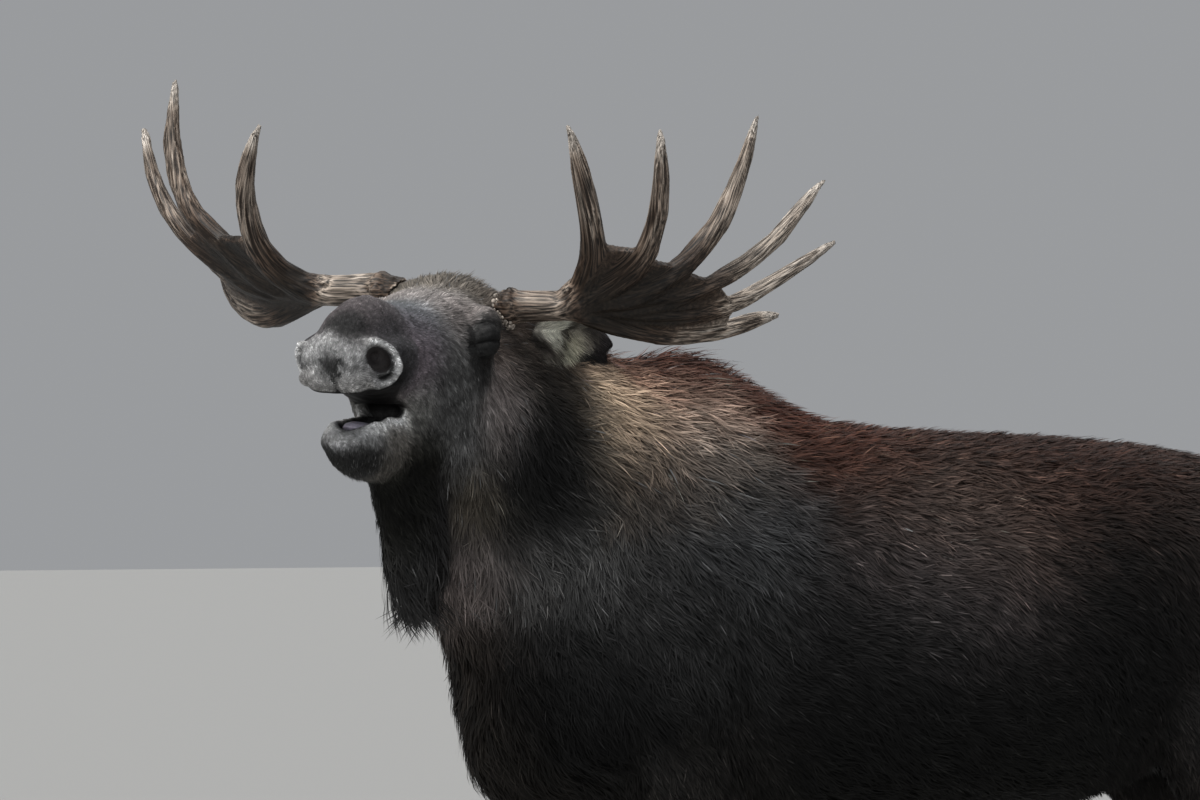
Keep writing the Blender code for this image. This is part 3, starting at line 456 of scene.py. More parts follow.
along, across, outside = on_lids(folded)
in_lids = np.exp(-(((along / 0.046) ** 2 + ((across - 0.003) / 0.054) ** 2) ** 2)) * outside
# The lids are domed over the eyeball.
off = folded - LIDS
far = np.linalg.norm(off, axis=1)
dome = np.clip(LIDS_RADIUS - far, 0, 0.014) * step(off @ lids_out, -0.010, 0.012)
dome_way = off / np.maximum(far, 0.01)[:, None]
dome_way *= np.where(sides < 0, -1, 1)[:, None] * (1, 0, 0) + (0, 1, 1)
# An upper and a lower roll, the slit between them, and creases above and below.
push = in_lids * (0.0060 * roll(across, 0.016, 0.014) + 0.0050 * roll(across, -0.015, 0.012))
push -= in_lids * 0.0065 * roll(across, 0.0, 0.0016) * step(0.042 - np.abs(along), 0, 0.010)
push -= in_lids * 0.0030 * roll(across, 0.0, 0.0050)
CREASES = ((0.0105, 0.0012), (0.0190, 0.0014), (0.0370, 0.0045), (0.0460, 0.0022), (-0.0130, 0.0016),
           (-0.0330, 0.0040), (-0.0420, 0.0018))
for centre, depth in CREASES:
    wavy = across + 0.0015 * np.sin(along * 160 + centre * 900)
    push -= in_lids * depth * roll(wavy, centre, 0.0020)
print("lids push the skin", (push.min() * 1000).round(1), "to", (push.max() * 1000).round(1), "mm")


# %% Nostrils
def on_nostril(places):
    """Where places lie on the nearer nostril.

    Gives distances from its middle in radii of the hole and of its folds, the places across
    and up it, and 1 in front."""
    left = np.where(places[:, 0] < 0, -1, 1)
    off = places - np.where(left[:, None] < 0, NOSTRILS[1], NOSTRILS[0])
    w, u = left * off[:, 0] * 0.8 + off[:, 1] * -0.6, off[:, 2]
    hole = np.hypot(w / np.where(w > 0, 0.037, 0.031), (u + 0.14 * w) / 0.0245)
    folds = np.hypot((w - 0.004) / 0.0275, (u + 0.10 * w) / 0.0245)
    return hole, folds, w, u, step(off[:, 1], -0.090, -0.055)


ring, fold_ring, hole_w, hole_u, front = on_nostril(place)
below = step(-hole_u, -0.006, 0.010)
# The thick rim above the hole, and a second roll below it between two grooves.
push += front * 0.0085 * roll(ring, 1.30, 0.20) * step(hole_w + 1.2 * hole_u, -0.010, 0.020)
push += front * 0.0085 * roll(fold_ring, 1.90, 0.30) * below * step(hole_w, -0.030, 0.005)
inner_groove = front * 0.0060 * roll(fold_ring, 1.42, 0.15) * step(-hole_u, 0.000, 0.010)
outer_groove = front * 0.0060 * roll(fold_ring, 2.50, 0.22) * step(-hole_u, 0.010, 0.03)
push -= inner_groove * step(hole_w, -0.010, 0.010)
push -= outer_groove * step(hole_w, -0.02, 0.01)
into_hole = front * step(1.15 - ring, 0.0, 0.40)
widen = front * roll(ring, 0.95, 0.40) * 0.0020
print("points in the nostrils", int((into_hole > 0.5).sum()))

# %% Upper lip and muzzle
on_lip = (step(folded[:, 1], 0.585, 0.615) * step(-folded[:, 2], 0.165, 0.18)
          * step(folded[:, 2], -0.235, -0.215))


def from_furrow(places):
    """How far left of the furrow of the upper lip places are: it leans a little."""
    return places[:, 0] - 0.008 - 0.15 * (-places[:, 2] - 0.175)


push -= on_lip * 0.0070 * roll(from_furrow(place), 0, 0.0030)
LOBES = (((0.042, 0.622, -0.192), 0.024, 0.0065), ((-0.026, 0.632, -0.192), 0.022, 0.0065),
         ((0.085, 0.575, -0.186), 0.022, 0.0030), ((-0.070, 0.600, -0.178), 0.020, 0.0045))
for lobe, size, swell in LOBES:
    push += swell * roll(np.linalg.norm(place - lobe, axis=1), 0, size)
over_the_lobes = 0.0035 * roll(place[:, 2], -0.160, 0.008) * step(place[:, 1], 0.58, 0.61)
push -= over_the_lobes * step(np.abs(place[:, 0]), 0.02, 0.035)
# The crease round the muzzle.
arc = folded[:, 1] - (0.375 - 1.6 * (folded[:, 2] + 0.09) ** 2)
on_muzzle = step(folded[:, 0], 0.03, 0.07) * step(folded[:, 2], -0.20, -0.16)
push += on_muzzle * (0.0035 * roll(arc, 0.018, 0.014) - 0.0035 * roll(arc, 0.0, 0.009))
# Wrinkles at the mouth's corner.
corner = folded - (0.083, 0.36, -0.242)
near_corner = roll(np.linalg.norm(corner, axis=1), 0, 0.035)
push += near_corner * 0.0022 * np.sin(np.linalg.norm(corner * (1, 1, 1.6), axis=1) * 420)
print("points on the upper lip", int((on_lip > 0.5).sum()))


# %% Lower lip
def on_lower_lip(places):
    """How far out from the bed of the tongue a place is, 1 at the rim, and 1 on the lip."""
    w, f, u = places.T
    lip = step(-0.228 - 0.12 * (f - 0.36) - u, 0, 0.012) * step(u, -0.325, -0.29) * step(f, 0.26, 0.32)
    return np.hypot(w / 0.047, np.maximum(f - 0.44, 0) / 0.108), lip


from_bed, lip_share = on_lower_lip(place)
# The rim stands highest at the sides.
LEFT_RIM = ((0.29, 0.355, 0.418, 0.475, 0.505, 0.53, 0.555), (0, 0.008, 0.014, 0.015, 0.008, -0.006, -0.012))
RIGHT_RIM = ((0.35, 0.40, 0.50, 0.54, 0.56), (0, 0.005, 0.011, 0.010, 0.005))
left_rise = np.interp(place[:, 1], *LEFT_RIM)
right_rise = np.interp(place[:, 1], *RIGHT_RIM)
rim_rise = right_rise + (left_rise - right_rise) * step(place[:, 0], -0.028, -0.004)
lip_rise = lip_share * roll(from_bed, 1.0, 0.20) * rim_rise
lip_rise -= lip_share * 0.012 * step(0.85 - from_bed, 0, 0.30)
print("the lower lip rises by up to", (lip_rise.max() * 1000).round(1), "mm")

# %% Groove of the cheek, and all folds together
groove = folded[:, 1] - 0.020 - 0.12 * (folded[:, 2] + 0.2)
push -= 0.010 * roll(groove, -0.045, 0.016) * step(folded[:, 0], 0.09, 0.13) * step(-folded[:, 2], 0.07, 0.12)
# Veins and muscle under the short coat of the face.
push += near_head(co) * 0.0007 * ripples(co, 0.045, 11)
co = co + way_out * push[:, None] + (dome_way @ HEAD_TURN.T) * dome[:, None]
co = co + HEAD_TURN[:, 2] * lip_rise[:, None]
# The rims of the nostrils widen, and the holes go deep into the head.
across_hole = HEAD_TURN @ np.array((0.8, -0.6, 0.0))
across_hole_right = HEAD_TURN @ np.array((-0.8, -0.6, 0.0))
sideways = np.where(sides[:, None] > 0, across_hole, across_hole_right)
outward = unit(sideways * hole_w[:, None] + HEAD_TURN[:, 2] * hole_u[:, None])
co += outward * widen[:, None]
inward = HEAD_TURN @ unit(np.array((-0.25, -1.0, 0.10)))
inward_right = HEAD_TURN @ unit(np.array((0.25, -1.0, 0.10)))
NOSTRIL_DEPTH = 0.024
co += into_hole[:, None] * NOSTRIL_DEPTH * np.where(sides[:, None] > 0, inward, inward_right)
put_points(shell.data, co)
print("folds run from", (push.min() * 1000).round(1), "to", (push.max() * 1000).round(1), "mm")

# %% [markdown]
# ## Room for the coat
# A coat lifts the outline of an animal by centimetres, and the solids already reach its tips. So
# the skin now moves in by as much as the hair will rise over it, and the finished coat ends
# where the solids do. Ears and lips keep nearly all of their thickness.
# %% Sink the skin by the coat's depth
def ear_boxes(points, margin):
    """1 in the boxes of the two ears, fading over this margin outside them."""
    inside = np.zeros(len(points))
    for name in ("ear_left", "ear_right"):
        low, high = (np.array(corner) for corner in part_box(name))
        box = step((points - low).min(1), -margin, 0.004) * step((high - points).min(1), -margin, 0.004)
        inside = np.maximum(inside, box)
    return inside


BELL_HAIR = 0.085  # how far the hair hangs below the skin of the bell
way_out = unit(relax(normals_of(shell.data), ends, 10))
_, sizes = groom.at(co)
in_ear = ear_boxes(co, 0.004)
depth = sizes[:, 1] * 0.85
depth = relax((depth * (1 - in_ear) + EAR_SWELL * in_ear)[:, None], ends, 6)
co = co - way_out * depth
# The skin of the bell ends well above the tips of its long hair.
place = to_head(co)
in_bell = (step(-place[:, 2], 0.54, 0.70) * step(0.13 - np.abs(place[:, 0]), 0, 0.03)
           * step(place[:, 1], -0.12, -0.04))
co[:, 2] += BELL_HAIR * in_bell
put_points(shell.data, co)
shell.data.shade_smooth()
skin = shell
print("skin sits", (depth.min() * 1000).round(1), "to", (depth.max() * 1000).round(1), "mm inside the solids")

# %% [markdown]
# ## Colours of the coat
# The bull is nearly black below, reddish brown along the back and tan behind the ears. Low on
# its trunk the tints are darker still, partly as painted shade under the body. Its face is slate
# grey, paler on the forehead, with a speckled pale nose round a small dark wedge, pale lips and
# dark lids. The creases round the nose and the hollows of the ears are painted shade, and the
# rims of the nostrils and of the lower lip carry painted highlights. A painted image would need
# an unwrap of the whole skin. Here the colours are set at landmarks like the hair, and blend
# between them in the same way. The skin and every lock of hair ask the same function, so the
# markings agree.
# %% Landmarks of colour
TINTS = {
    # Behind the nostril: nearly black, painted shade in the crease under its fold.
    "behind the nostril": ("head", (0.091, 0.503, -0.179), 0.011, (0.004, 0.004, 0.004)),
    "dark nose": ("head", (-0.003, 0.645, -0.152), 0.012, (0.034, 0.034, 0.034)),
    "nose": ("head", (-0.02, 0.640, -0.130), 0.022, (0.29, 0.29, 0.29)),
    "nose side": ("head", (0.035, 0.640, -0.140), 0.022, (0.24, 0.24, 0.24)),
    "upper lip": ("head", (0.040, 0.625, -0.190), 0.020, (0.42, 0.41, 0.40)),
    "upper lip back": ("head", (0.085, 0.555, -0.188), 0.022, (0.085, 0.085, 0.082)),
    "under the nostril": ("head", (0.098, 0.560, -0.163), 0.011, (0.45, 0.45, 0.43)),
    "nostril rim": ("head", (0.098, 0.572, -0.120), 0.013, (0.34, 0.34, 0.33)),
    "nostril top": ("head", (0.072, 0.600, -0.102), 0.013, (0.35, 0.35, 0.34)),
    "nose spot": ("head", (-0.012, 0.625, -0.105), 0.011, (0.50, 0.50, 0.49)),
    "dark over the nose": ("head", (0.012, 0.600, -0.072), 0.020, (0.017, 0.017, 0.017)),
    "muzzle top": ("head", (0, 0.50, -0.02), 0.060, (0.10, 0.086, 0.088)),
    "muzzle side": ("head", (0.10, 0.49, -0.11), 0.050, (0.035, 0.034, 0.037)),
    "muzzle side low": ("head", (0.105, 0.50, -0.178), 0.022, (0.006, 0.006, 0.006)),
    "bridge": ("head", (0, 0.30, -0.02), 0.060, (0.11, 0.12, 0.13)),
    "nose side back": ("head", (0.085, 0.33, -0.11), 0.050, (0.18, 0.15, 0.17)),
    "forehead": ("head", (0, 0.12, 0.0), 0.070, (0.28, 0.26, 0.25)),
    "temple": ("head", (0.09, 0.14, -0.02), 0.040, (0.22, 0.19, 0.18)),
    "poll": ("head", (0, -0.03, 0.03), 0.060, (0.10, 0.088, 0.072)),
    "lids": ("head", (0.150, 0.075, -0.088), 0.022, (0.016, 0.016, 0.016)),
    "under the lids": ("head", (0.135, 0.075, -0.130), 0.024, (0.009, 0.009, 0.009)),
    "cheek front": ("head", (0.11, 0.18, -0.18), 0.060, (0.10, 0.10, 0.099)),
    "cheek streak": ("head", (0.141, -0.034, -0.222), 0.052, (0.62, 0.52, 0.50)),
    "cheek streak low": ("head", (0.141, -0.017, -0.270), 0.036, (0.45, 0.37, 0.34)),
    "cheek": ("head", (0.114, 0.037, -0.291), 0.045, (0.20, 0.20, 0.20)),
    "mouth side": ("head", (0.066, 0.305, -0.225), 0.032, (0.17, 0.17, 0.16)),
    "lower lip": ("head", (0.045, 0.52, -0.268), 0.014, (0.55, 0.55, 0.55)),
    "lower lip front": ("head", (0, 0.555, -0.288), 0.016, (0.20, 0.20, 0.21)),
    "chin": ("head", (0, 0.50, -0.340), 0.040, (0.020, 0.020, 0.020)),
    "jaw side": ("head", (0.07, 0.38, -0.31), 0.050, (0.12, 0.11, 0.098)),
    "jaw under": ("head", (0, 0.25, -0.39), 0.060, (0.005, 0.005, 0.004)),
    "jaw corner": ("head", (0.11, -0.013, -0.381), 0.045, (0.21, 0.17, 0.12)),
    "behind the groove": ("head", (0.17, -0.10, -0.28), 0.060, (0.006, 0.006, 0.006)),
    "behind the ear": ("head", (0.15, -0.17, -0.15), 0.055, (0.013, 0.011, 0.009)),
    "throat": ("head", (0, 0.08, -0.44), 0.060, (0.024, 0.023, 0.023)),
    "bell": ("head", (0, 0.12, -0.58), 0.090, (0.044, 0.043, 0.043)),
    "neck front": ("body", (0.10, -0.46, 1.44), 0.080, (0.23, 0.19, 0.18)),
    "neck front low": ("body", (0.05, -0.42, 1.28), 0.080, (0.015, 0.012, 0.010)),
    "neck side": ("body", (0.24, -0.34, 1.66), 0.080, (0.004, 0.004, 0.004)),
    "neck side low": ("body", (0.22, -0.26, 1.45), 0.080, (0.098, 0.098, 0.096)),
    "far neck": ("body", (-0.10, -0.30, 1.60), 0.120, (0.15, 0.12, 0.095)),
    "nape": ("body", (0.10, -0.38, 1.94), 0.080, (0.13, 0.10, 0.085)),
    "tan": ("body", (0.20, -0.12, 1.77), 0.085, (0.54, 0.41, 0.28)),
    "tan ridge": ("body", (0.085, 0.07, 1.80), 0.045, (0.26, 0.21, 0.17)),
    "under the tan": ("body", (0.18, -0.07, 1.64), 0.055, (0.018, 0.015, 0.013)),
    "under the tan back": ("body", (0.185, 0.06, 1.63), 0.055, (0.030, 0.026, 0.023)),
    "tan back": ("body", (0.20, 0.06, 1.71), 0.060, (0.28, 0.23, 0.19)),
    "far tan": ("body", (-0.20, 0.00, 1.74), 0.090, (0.46, 0.34, 0.27)),
    "hump": ("body", (0, 0.06, 1.90), 0.090, (0.045, 0.017, 0.012)),
    "behind the hump": ("body", (0, 0.40, 1.74), 0.120, (0.062, 0.024, 0.016)),
    "back": ("body", (0, 0.90, 1.71), 0.220, (0.032, 0.016, 0.012)),
    "back side": ("body", (0.25, 0.60, 1.58), 0.120, (0.048, 0.033, 0.026)),
    "shoulder top": ("body", (0.25, 0.08, 1.56), 0.090, (0.052, 0.054, 0.057)),
    "shoulder": ("body", (0.29, -0.02, 1.36), 0.120, (0.014, 0.014, 0.014)),
    # Shoulder front, ribs low, belly and flank: nearly black, partly the coat's own dark and partly painted
    # shade low on the body.
    "shoulder front": ("body", (0.22, -0.24, 1.24), 0.100, (0.003, 0.003, 0.003)),
    "brisket": ("body", (0, -0.36, 1.12), 0.100, (0.014, 0.012, 0.010)),
    "ribs": ("body", (0.33, 0.55, 1.42), 0.130, (0.094, 0.076, 0.078)),
    "ribs low": ("body", (0.32, 0.50, 1.20), 0.160, (0.003, 0.003, 0.003)),
    "belly": ("body", (0, 0.60, 0.95), 0.200, (0.006, 0.006, 0.005)),
    "flank": ("body", (0.27, 1.02, 1.30), 0.140, (0.003, 0.003, 0.003)),
    "haunch": ("body", (0.25, 1.25, 1.42), 0.140, (0.022, 0.017, 0.015)),
    "rump": ("body", (0, 1.40, 1.58), 0.140, (0.040, 0.027, 0.022)),
    "thigh": ("body", (0.22, 1.25, 1.10), 0.140, (0.012, 0.010, 0.009)),
    "groin": ("body", (0.0, 1.15, 1.02), 0.080, (0.007, 0.007, 0.007)),
    "elbow": ("body", (0.20, 0.02, 0.98), 0.100, (0.010, 0.009, 0.008)),
    "forearm": ("body", (0.18, 0.02, 0.74), 0.080, (0.040, 0.034, 0.029)),
    "front cannon": ("body", (0.17, 0.02, 0.38), 0.140, (0.085, 0.073, 0.062)),
    "front pastern": ("body", (0.17, 0.00, 0.10), 0.060, (0.045, 0.039, 0.034)),
    "gaskin": ("body", (0.17, 1.32, 0.84), 0.090, (0.040, 0.034, 0.029)),
    "hind cannon": ("body", (0.17, 1.40, 0.42), 0.160, (0.092, 0.079, 0.067)),
    "hind pastern": ("body", (0.17, 1.40, 0.10), 0.060, (0.045, 0.039, 0.034)),
    "tail": ("body", (0, 1.55, 1.46), 0.050, (0.030, 0.023, 0.020)),
}


class Blend:
    """Values at landmarks, blended over any points."""

    def __init__(self, rows):
        """Takes rows of a place, a reach and the values there."""
        self.spots = np.array([row[0] for row in rows])
        self.reach = np.array([row[1] for row in rows])
        self.values = np.array([row[2] for row in rows])

    def at(self, points):
        """The blended values at these points."""
        return np.concatenate([weight @ self.values / weight.sum(1, keepdims=True)
                               for weight in weights_of(points, self.spots, self.reach)])


tints = Blend([(spot, reach, np.log(colour))
               for where, spot_, reach, colour in TINTS.values()
               for spot, _ in both_sides(where, spot_, (0, 0, 1))])
print(len(tints.spots), "landmarks of colour")

# %% Colours of the ears
EAR_ROOT = np.array((0.115, -0.112, -0.070))
EAR_TIP = np.array((0.272, -0.365, -0.085))
EAR_FACING = unit(np.array((0.80, 0.58, -0.10)))
EAR_LENGTH = np.linalg.norm(EAR_TIP - EAR_ROOT)
EAR_UP = np.array((0.115, 0.013, 0.993))
# The ear's inner side: how far along the ear, how far above its axis, reach, colour.
EAR_MARKS = {
    "root": (0.04, 0.000, 0.024, (0.026, 0.021, 0.019)),
    "front tuft": (0.31, 0.022, 0.016, (0.70, 0.69, 0.61)),
    "middle of the tuft": (0.42, 0.010, 0.014, (0.72, 0.72, 0.62)),
    "point of the tuft": (0.42, -0.009, 0.010, (0.62, 0.61, 0.52)),
    # Fold, middle of the fold and foot of the fold: dark along the fold, painted shade in its crease.
    "fold": (0.54, 0.014, 0.005, (0.040, 0.036, 0.030)),
    "middle of the fold": (0.51, -0.006, 0.005, (0.034, 0.030, 0.024)),
    "foot of the fold": (0.44, -0.027, 0.006, (0.036, 0.032, 0.026)),
    "front of the foot": (0.30, -0.020, 0.013, (0.022, 0.018, 0.016)),
    "second tuft": (0.62, -0.005, 0.012, (0.41, 0.39, 0.30)),
    "point of the second tuft": (0.71, -0.003, 0.010, (0.26, 0.24, 0.20)),
    "foot of the second tuft": (0.56, -0.031, 0.012, (0.39, 0.38, 0.29)),
    "lobe": (0.50, -0.048, 0.011, (0.45, 0.44, 0.36)),
    "front of the lobe": (0.30, -0.052, 0.014, (0.200, 0.190, 0.155)),
    # Hollow, upper hollow and hollow's end: nearly black, painted shade in the cup of the ear.
    "hollow": (0.665, -0.050, 0.011, (0.010, 0.009, 0.008)),
    "upper hollow": (0.74, -0.035, 0.011, (0.008, 0.008, 0.008)),
    "hollow's end": (0.82, -0.020, 0.012, (0.014, 0.012, 0.013)),
    "tip": (0.95, 0.000, 0.018, (0.022, 0.020, 0.022)),
    "upper edge": (0.60, 0.027, 0.009, (0.14, 0.13, 0.11)),
    "end of the upper edge": (0.76, 0.020, 0.011, (0.066, 0.058, 0.052)),
    "edge by the tip": (0.87, 0.012, 0.012, (0.036, 0.032, 0.033)),
}
ear_marks = Blend([((along * EAR_LENGTH, up, 0), reach, np.log(colour))
                   for along, up, reach, colour in EAR_MARKS.values()])
EAR_BACK = np.log((0.045, 0.036, 0.032))


def to_left(points):
    """Factors that mirror what is on the head's right half onto its left."""
    return np.where(to_head(points)[:, :1] < 0, -1, 1) * (1, 0, 0) + (0, 1, 1)


def ear_share(points, normals):
    """How far along the ear a point is, and how much it is on the ear's inner side."""
    h = to_head(points) * to_left(points)
    n = normals @ HEAD_TURN * to_left(points)
    axis = EAR_TIP - EAR_ROOT
    along_ear = (h - EAR_ROOT) @ axis / (axis @ axis)
    return along_ear, step(n @ EAR_FACING, -0.1, 0.4)


def in_ears(points):
    """1 on the ears and 0 off them."""
    return ear_boxes(points, 0.006) * step(-to_head(points)[:, 1], 0.13, 0.16)


print("an ear is", (EAR_LENGTH * 1000).round(0), "mm long from its root, with", len(EAR_MARKS), "marks")


# %% Paint the coat
def nose_patch(h, points):
    """The dark wedge of very short hair between the nostrils, over the furrow of the lip."""
    down = -0.141 - h[:, 2] + 0.004 * ripples(points, 0.010, 62)
    half = 0.026 * np.clip(1 - down / 0.042, 0, 1) ** 0.8 + 0.004 * ripples(points, 0.010, 61)
    return (step(h[:, 1], 0.58, 0.60) * step(down, -0.004, 0.004) * step(0.042 - down, 0, 0.006)
            * step(half - np.abs(h[:, 0] + 0.001 - 0.22 * down), -0.003, 0.005)) * 0.92


def coat_colour(points, normals):
    """The coat's colour at these points, in linear RGB."""
    # Edges between colours wander by a centimetre or two, as they do in a real coat.
    wander = 0.012 * np.stack([ripples(points, 0.07, seed) for seed in (21, 22, 23)], 1)
    colour = tints.at(points + wander * (1 - near_head(points)[:, None] * 0.85))
    ear = in_ears(points)[:, None]
    along_ear, inner = ear_share(points, normals)
    h = to_head(points)
    fold = np.column_stack([np.abs(h[:, 0]), h[:, 1:]])
    above_axis = (fold - EAR_ROOT) @ EAR_UP
    marks = ear_marks.at(np.column_stack([along_ear * EAR_LENGTH, above_axis, np.zeros(len(points))]))
    on_ear = EAR_BACK * (1 - inner[:, None]) + marks * inner[:, None]
    colour = colour * (1 - ear) + on_ear * ear
    ring, fold_ring, hole_w, hole_u, front = on_nostril(h)
    along, across, outside = on_lids(fold)
    from_bed, lip = on_lower_lip(h)
    outer_lip = lip * step(from_bed, 0.78, 0.86)
    lids = outside * np.exp(-(((along / 0.050) ** 2 + ((across + 0.004) / 0.050) ** 2) ** 1.4))
    rim = outer_lip * roll(from_bed, 1.03, 0.17) * step(h[:, 1], 0.26, 0.34)
    rim = rim * (1 - 0.45 * step(h[:, 1], 0.49, 0.54))
    low, high = step(-hole_u, -0.006, 0.006), step(hole_w + 1.2 * hole_u, -0.005, 0.020)
    # Grooves and rims of the nostrils, the wedge, the lids and the lower lip, each with its paint.
    for share, paint in (
        # The outer groove under the nostril, nearly black: painted shade.
        (front * roll(fold_ring, 2.60, 0.28) * step(-hole_u, 0.012, 0.03) * step(hole_w, 0.0, 0.02), 0.008),
        (front * roll(fold_ring, 1.90, 0.40) * low * step(hole_w, -0.025, 0.000), 0.50),
        # The inner groove under the hole, nearly black: painted shade.
        (front * roll(fold_ring, 1.38, 0.18) * step(-hole_u, 0.000, 0.010) * step(hole_w, 0.0, 0.012), 0.008),
        # The rim over the hole, near white: a painted highlight on the pale nose.
        (front * roll(ring, 1.30, 0.20) * high, 0.85),
        (nose_patch(h, points), 0.028),
        (lids, 0.012),
        (lids * roll(across, -0.016, 0.010), 0.018),
        (lids * roll(across, 0.032, 0.010), 0.030),
        (outer_lip * step(h[:, 2], -0.318, -0.280) * step(h[:, 1], 0.42, 0.52), 0.19),
        # The rim of the lower lip: pale, with a painted highlight along it.
        (rim, 0.85),
        # The bed of the tongue inside it: painted shade in the mouth.
        (lip * step(0.84 - from_bed, 0, 0.05), 0.045),
    ):
        colour = colour * (1 - share[:, None]) + math.log(paint) * share[:, None]
    # Broad and narrow streaks of lighter and darker hair.
    long_hair = step(-h[:, 1], -0.42, -0.30)
    mottle = (0.06 + 0.08 * long_hair) * ripples(points, 0.06, 31)
    mottle = mottle + (0.05 + 0.13 * long_hair) * ripples(points, 0.017, 32)
    return np.exp(colour + mottle[:, None])


co = points_of(skin.data)
normal = normals_of(skin.data)
tone = coat_colour(co, normal)
place = to_head(co)
print("darkest and lightest of the coat", tone.mean(1).min().round(3), tone.mean(1).max().round(3))

# %% [markdown]
# ## Bare places
# No hair grows in the nostrils, in the mouth, between the lids or in the furrow of the upper
# lip. There the bare skin is painted nearly black, as painted shade in these hollows and creases.
# It could be a second material on chosen faces, but a share stored on the points gives it a soft
# edge and keeps the skin in one piece.
# %% Where the skin is bare
def bareness(points, normals):
    """Shares of bare skin in the mouth, in the nostrils, in the furrow and in the eye slits."""
    h = to_head(points)
    n = normals @ HEAD_TURN
    w = np.abs(h[:, 0])
    fold = np.column_stack([w, h[:, 1:]])
    middle = -0.232 - 0.12 * (h[:, 1] - 0.36)
    above = h[:, 2] > middle
    off_middle = np.abs(h[:, 2] - middle)
    facing = n[:, 2] * np.where(above, -1, 1)
    gape = step(h[:, 1], 0.27, 0.30) * step(np.where(above, 0.070, 0.034) - off_middle, 0, 0.006)
    roof = step(facing, 0.20, 0.40) * step(0.058 + 0.45 * np.clip(h[:, 1] - 0.39, 0, 1) - w, 0, 0.008)
    bed = step(0.84 - on_lower_lip(h)[0], 0, 0.06) * step(facing, 0.0, 0.3)
    deep = step(np.where(above, 0.060, 0.040) - w, 0, 0.01) * step(0.026 - off_middle, 0, 0.006)
    deep = deep * step(0.48 - h[:, 1], 0, 0.02)
    mouth = gape * np.maximum(np.where(above, roof, bed), deep)
    ring, _, _, _, front = on_nostril(h)
    hole = front * step(1.12 - ring, 0, 0.16)
    line = step(h[:, 1], 0.57, 0.60) * step(-h[:, 2], 0.165, 0.175) * roll(from_furrow(h), 0, 0.0035)
    along, across, outside = on_lids(fold)
    slit = outside * step(0.0026 - np.abs(across), 0, 0.0012) * step(0.042 - np.abs(along), 0, 0.004)
    return np.clip(mouth, 0, 1), np.clip(hole, 0, 1), np.clip(line, 0, 1), slit


mouth, hole, furrow, slit = bareness(co, normal)
bare = np.maximum.reduce([mouth, hole, furrow, slit])
on_nose = step(place[:, 1], 0.50, 0.58)
skin_tone = tone * (1 - 0.35 * (1 - near_head(co)) - 0.45 * on_nose)[:, None]
# The bare places are painted nearly black: painted shade in the mouth, the nostrils, the furrow and the eye
# slits.
SHADED_BARE_COLOURS = ((0.005, 0.004, 0.004), (0.020, 0.017, 0.017), (0.010, 0.010, 0.010), (0.003, 0.003, 0.003))
for share, colour in zip((mouth, hole, furrow, slit), SHADED_BARE_COLOURS):
    skin_tone = skin_tone * (1 - share[:, None]) + np.array(colour) * share[:, None]


def colour_attribute(mesh, name, values):
    """Stores linear RGB colours on the mesh's points."""
    made = mesh.attributes.new(name, "FLOAT_COLOR", "POINT")
    made.data.foreach_set("color", np.column_stack([values, np.ones(len(values))]).astype(np.float32).ravel())


def number_attribute(mesh, name, values):
    """Stores one number for each of the mesh's points."""
    made = mesh.attributes.new(name, "FLOAT", "POINT")
    made.data.foreach_set("value", np.asarray(values, np.float32))


colour_attribute(skin.data, "tone", skin_tone)
number_attribute(skin.data, "bare", bare)
print("bare points", int((bare > 0.5).sum()))

# %% [markdown]
# ## Locks of hair
# A moose's long guard hairs clump into pointed locks. Particle hair would look finer close up,
# but it can't be carried into another program as a mesh. So each lock is a thin pointed strip
# that starts in the skin, follows it for the lock's length and rises off it towards the tip.
# Roots are scattered evenly, denser where locks are small. Neighbours lean together, and every
# lock varies in length, rise, tilt and shade. The normals of a lock are mostly those of the
# skin below it, so light falls over the coat as one soft surface.
# %% Where the roots go
skin.data.calc_loop_triangles()
tris = np.empty(len(skin.data.loop_triangles) * 3, np.int32)
skin.data.loop_triangles.foreach_get("vertices", tris)
tris = tris.reshape(-1, 3)
co = points_of(skin.data)
smooth = unit(relax(normals_of(skin.data), edges_of(skin.data), 5))
tree = BVHTree.FromPolygons(co.tolist(), tris.tolist())
bare = np.maximum.reduce(bareness(co, smooth))
centre = co[tris].mean(1)
area = np.linalg.norm(np.cross(co[tris[:, 1]] - co[tris[:, 0]], co[tris[:, 2]] - co[tris[:, 0]]), axis=1) / 2


def region_of(points):
    """The name of the coat piece that covers each place."""
    h = to_head(points)
    x, y, z = (points - FEET).T
    face = (near_head(points) > 0) & (h[:, 1] > -0.02 - 0.1 * h[:, 2]) & (h[:, 2] > -0.47)
    face |= (near_head(points) > 0.4) & (h[:, 1] > -0.06) & (h[:, 2] > -0.12)
    bell = (h[:, 2] <= -0.47) & (np.abs(h[:, 0]) < 0.10) & (h[:, 1] > -0.06) & (z > 1.15)
    side = np.where(x > 0, "left", "right")
    names = np.where(y < -0.12, np.where(z > 1.30, "neck", "chest"), "shoulder")
    names = np.char.add(np.char.add(names, " "), side)
    names = np.where((y > 0.33) & (y <= 0.85), np.char.add("ribs ", side), names)
    names = np.where(y > 0.85, np.char.add("haunch ", side), names)
    names = np.where((z < 0.98) & (y < 0.38) & (np.abs(x) > 0.05), "forelegs", names)
    names = np.where((z < 1.00) & (y > 0.90), "hind legs", names)
    names = np.where(bell, "bell", names)
    names = np.where(face, np.where(h[:, 1] > 0.30, "muzzle", "face"), names)
    return np.where(in_ears(points) > 0.5, "ears", names)


regions = region_of(centre)
for name in sorted(set(regions)):
    print(f"{name:16s} {int((regions == name).sum()):6d} faces {area[regions == name].sum():6.3f} m2")


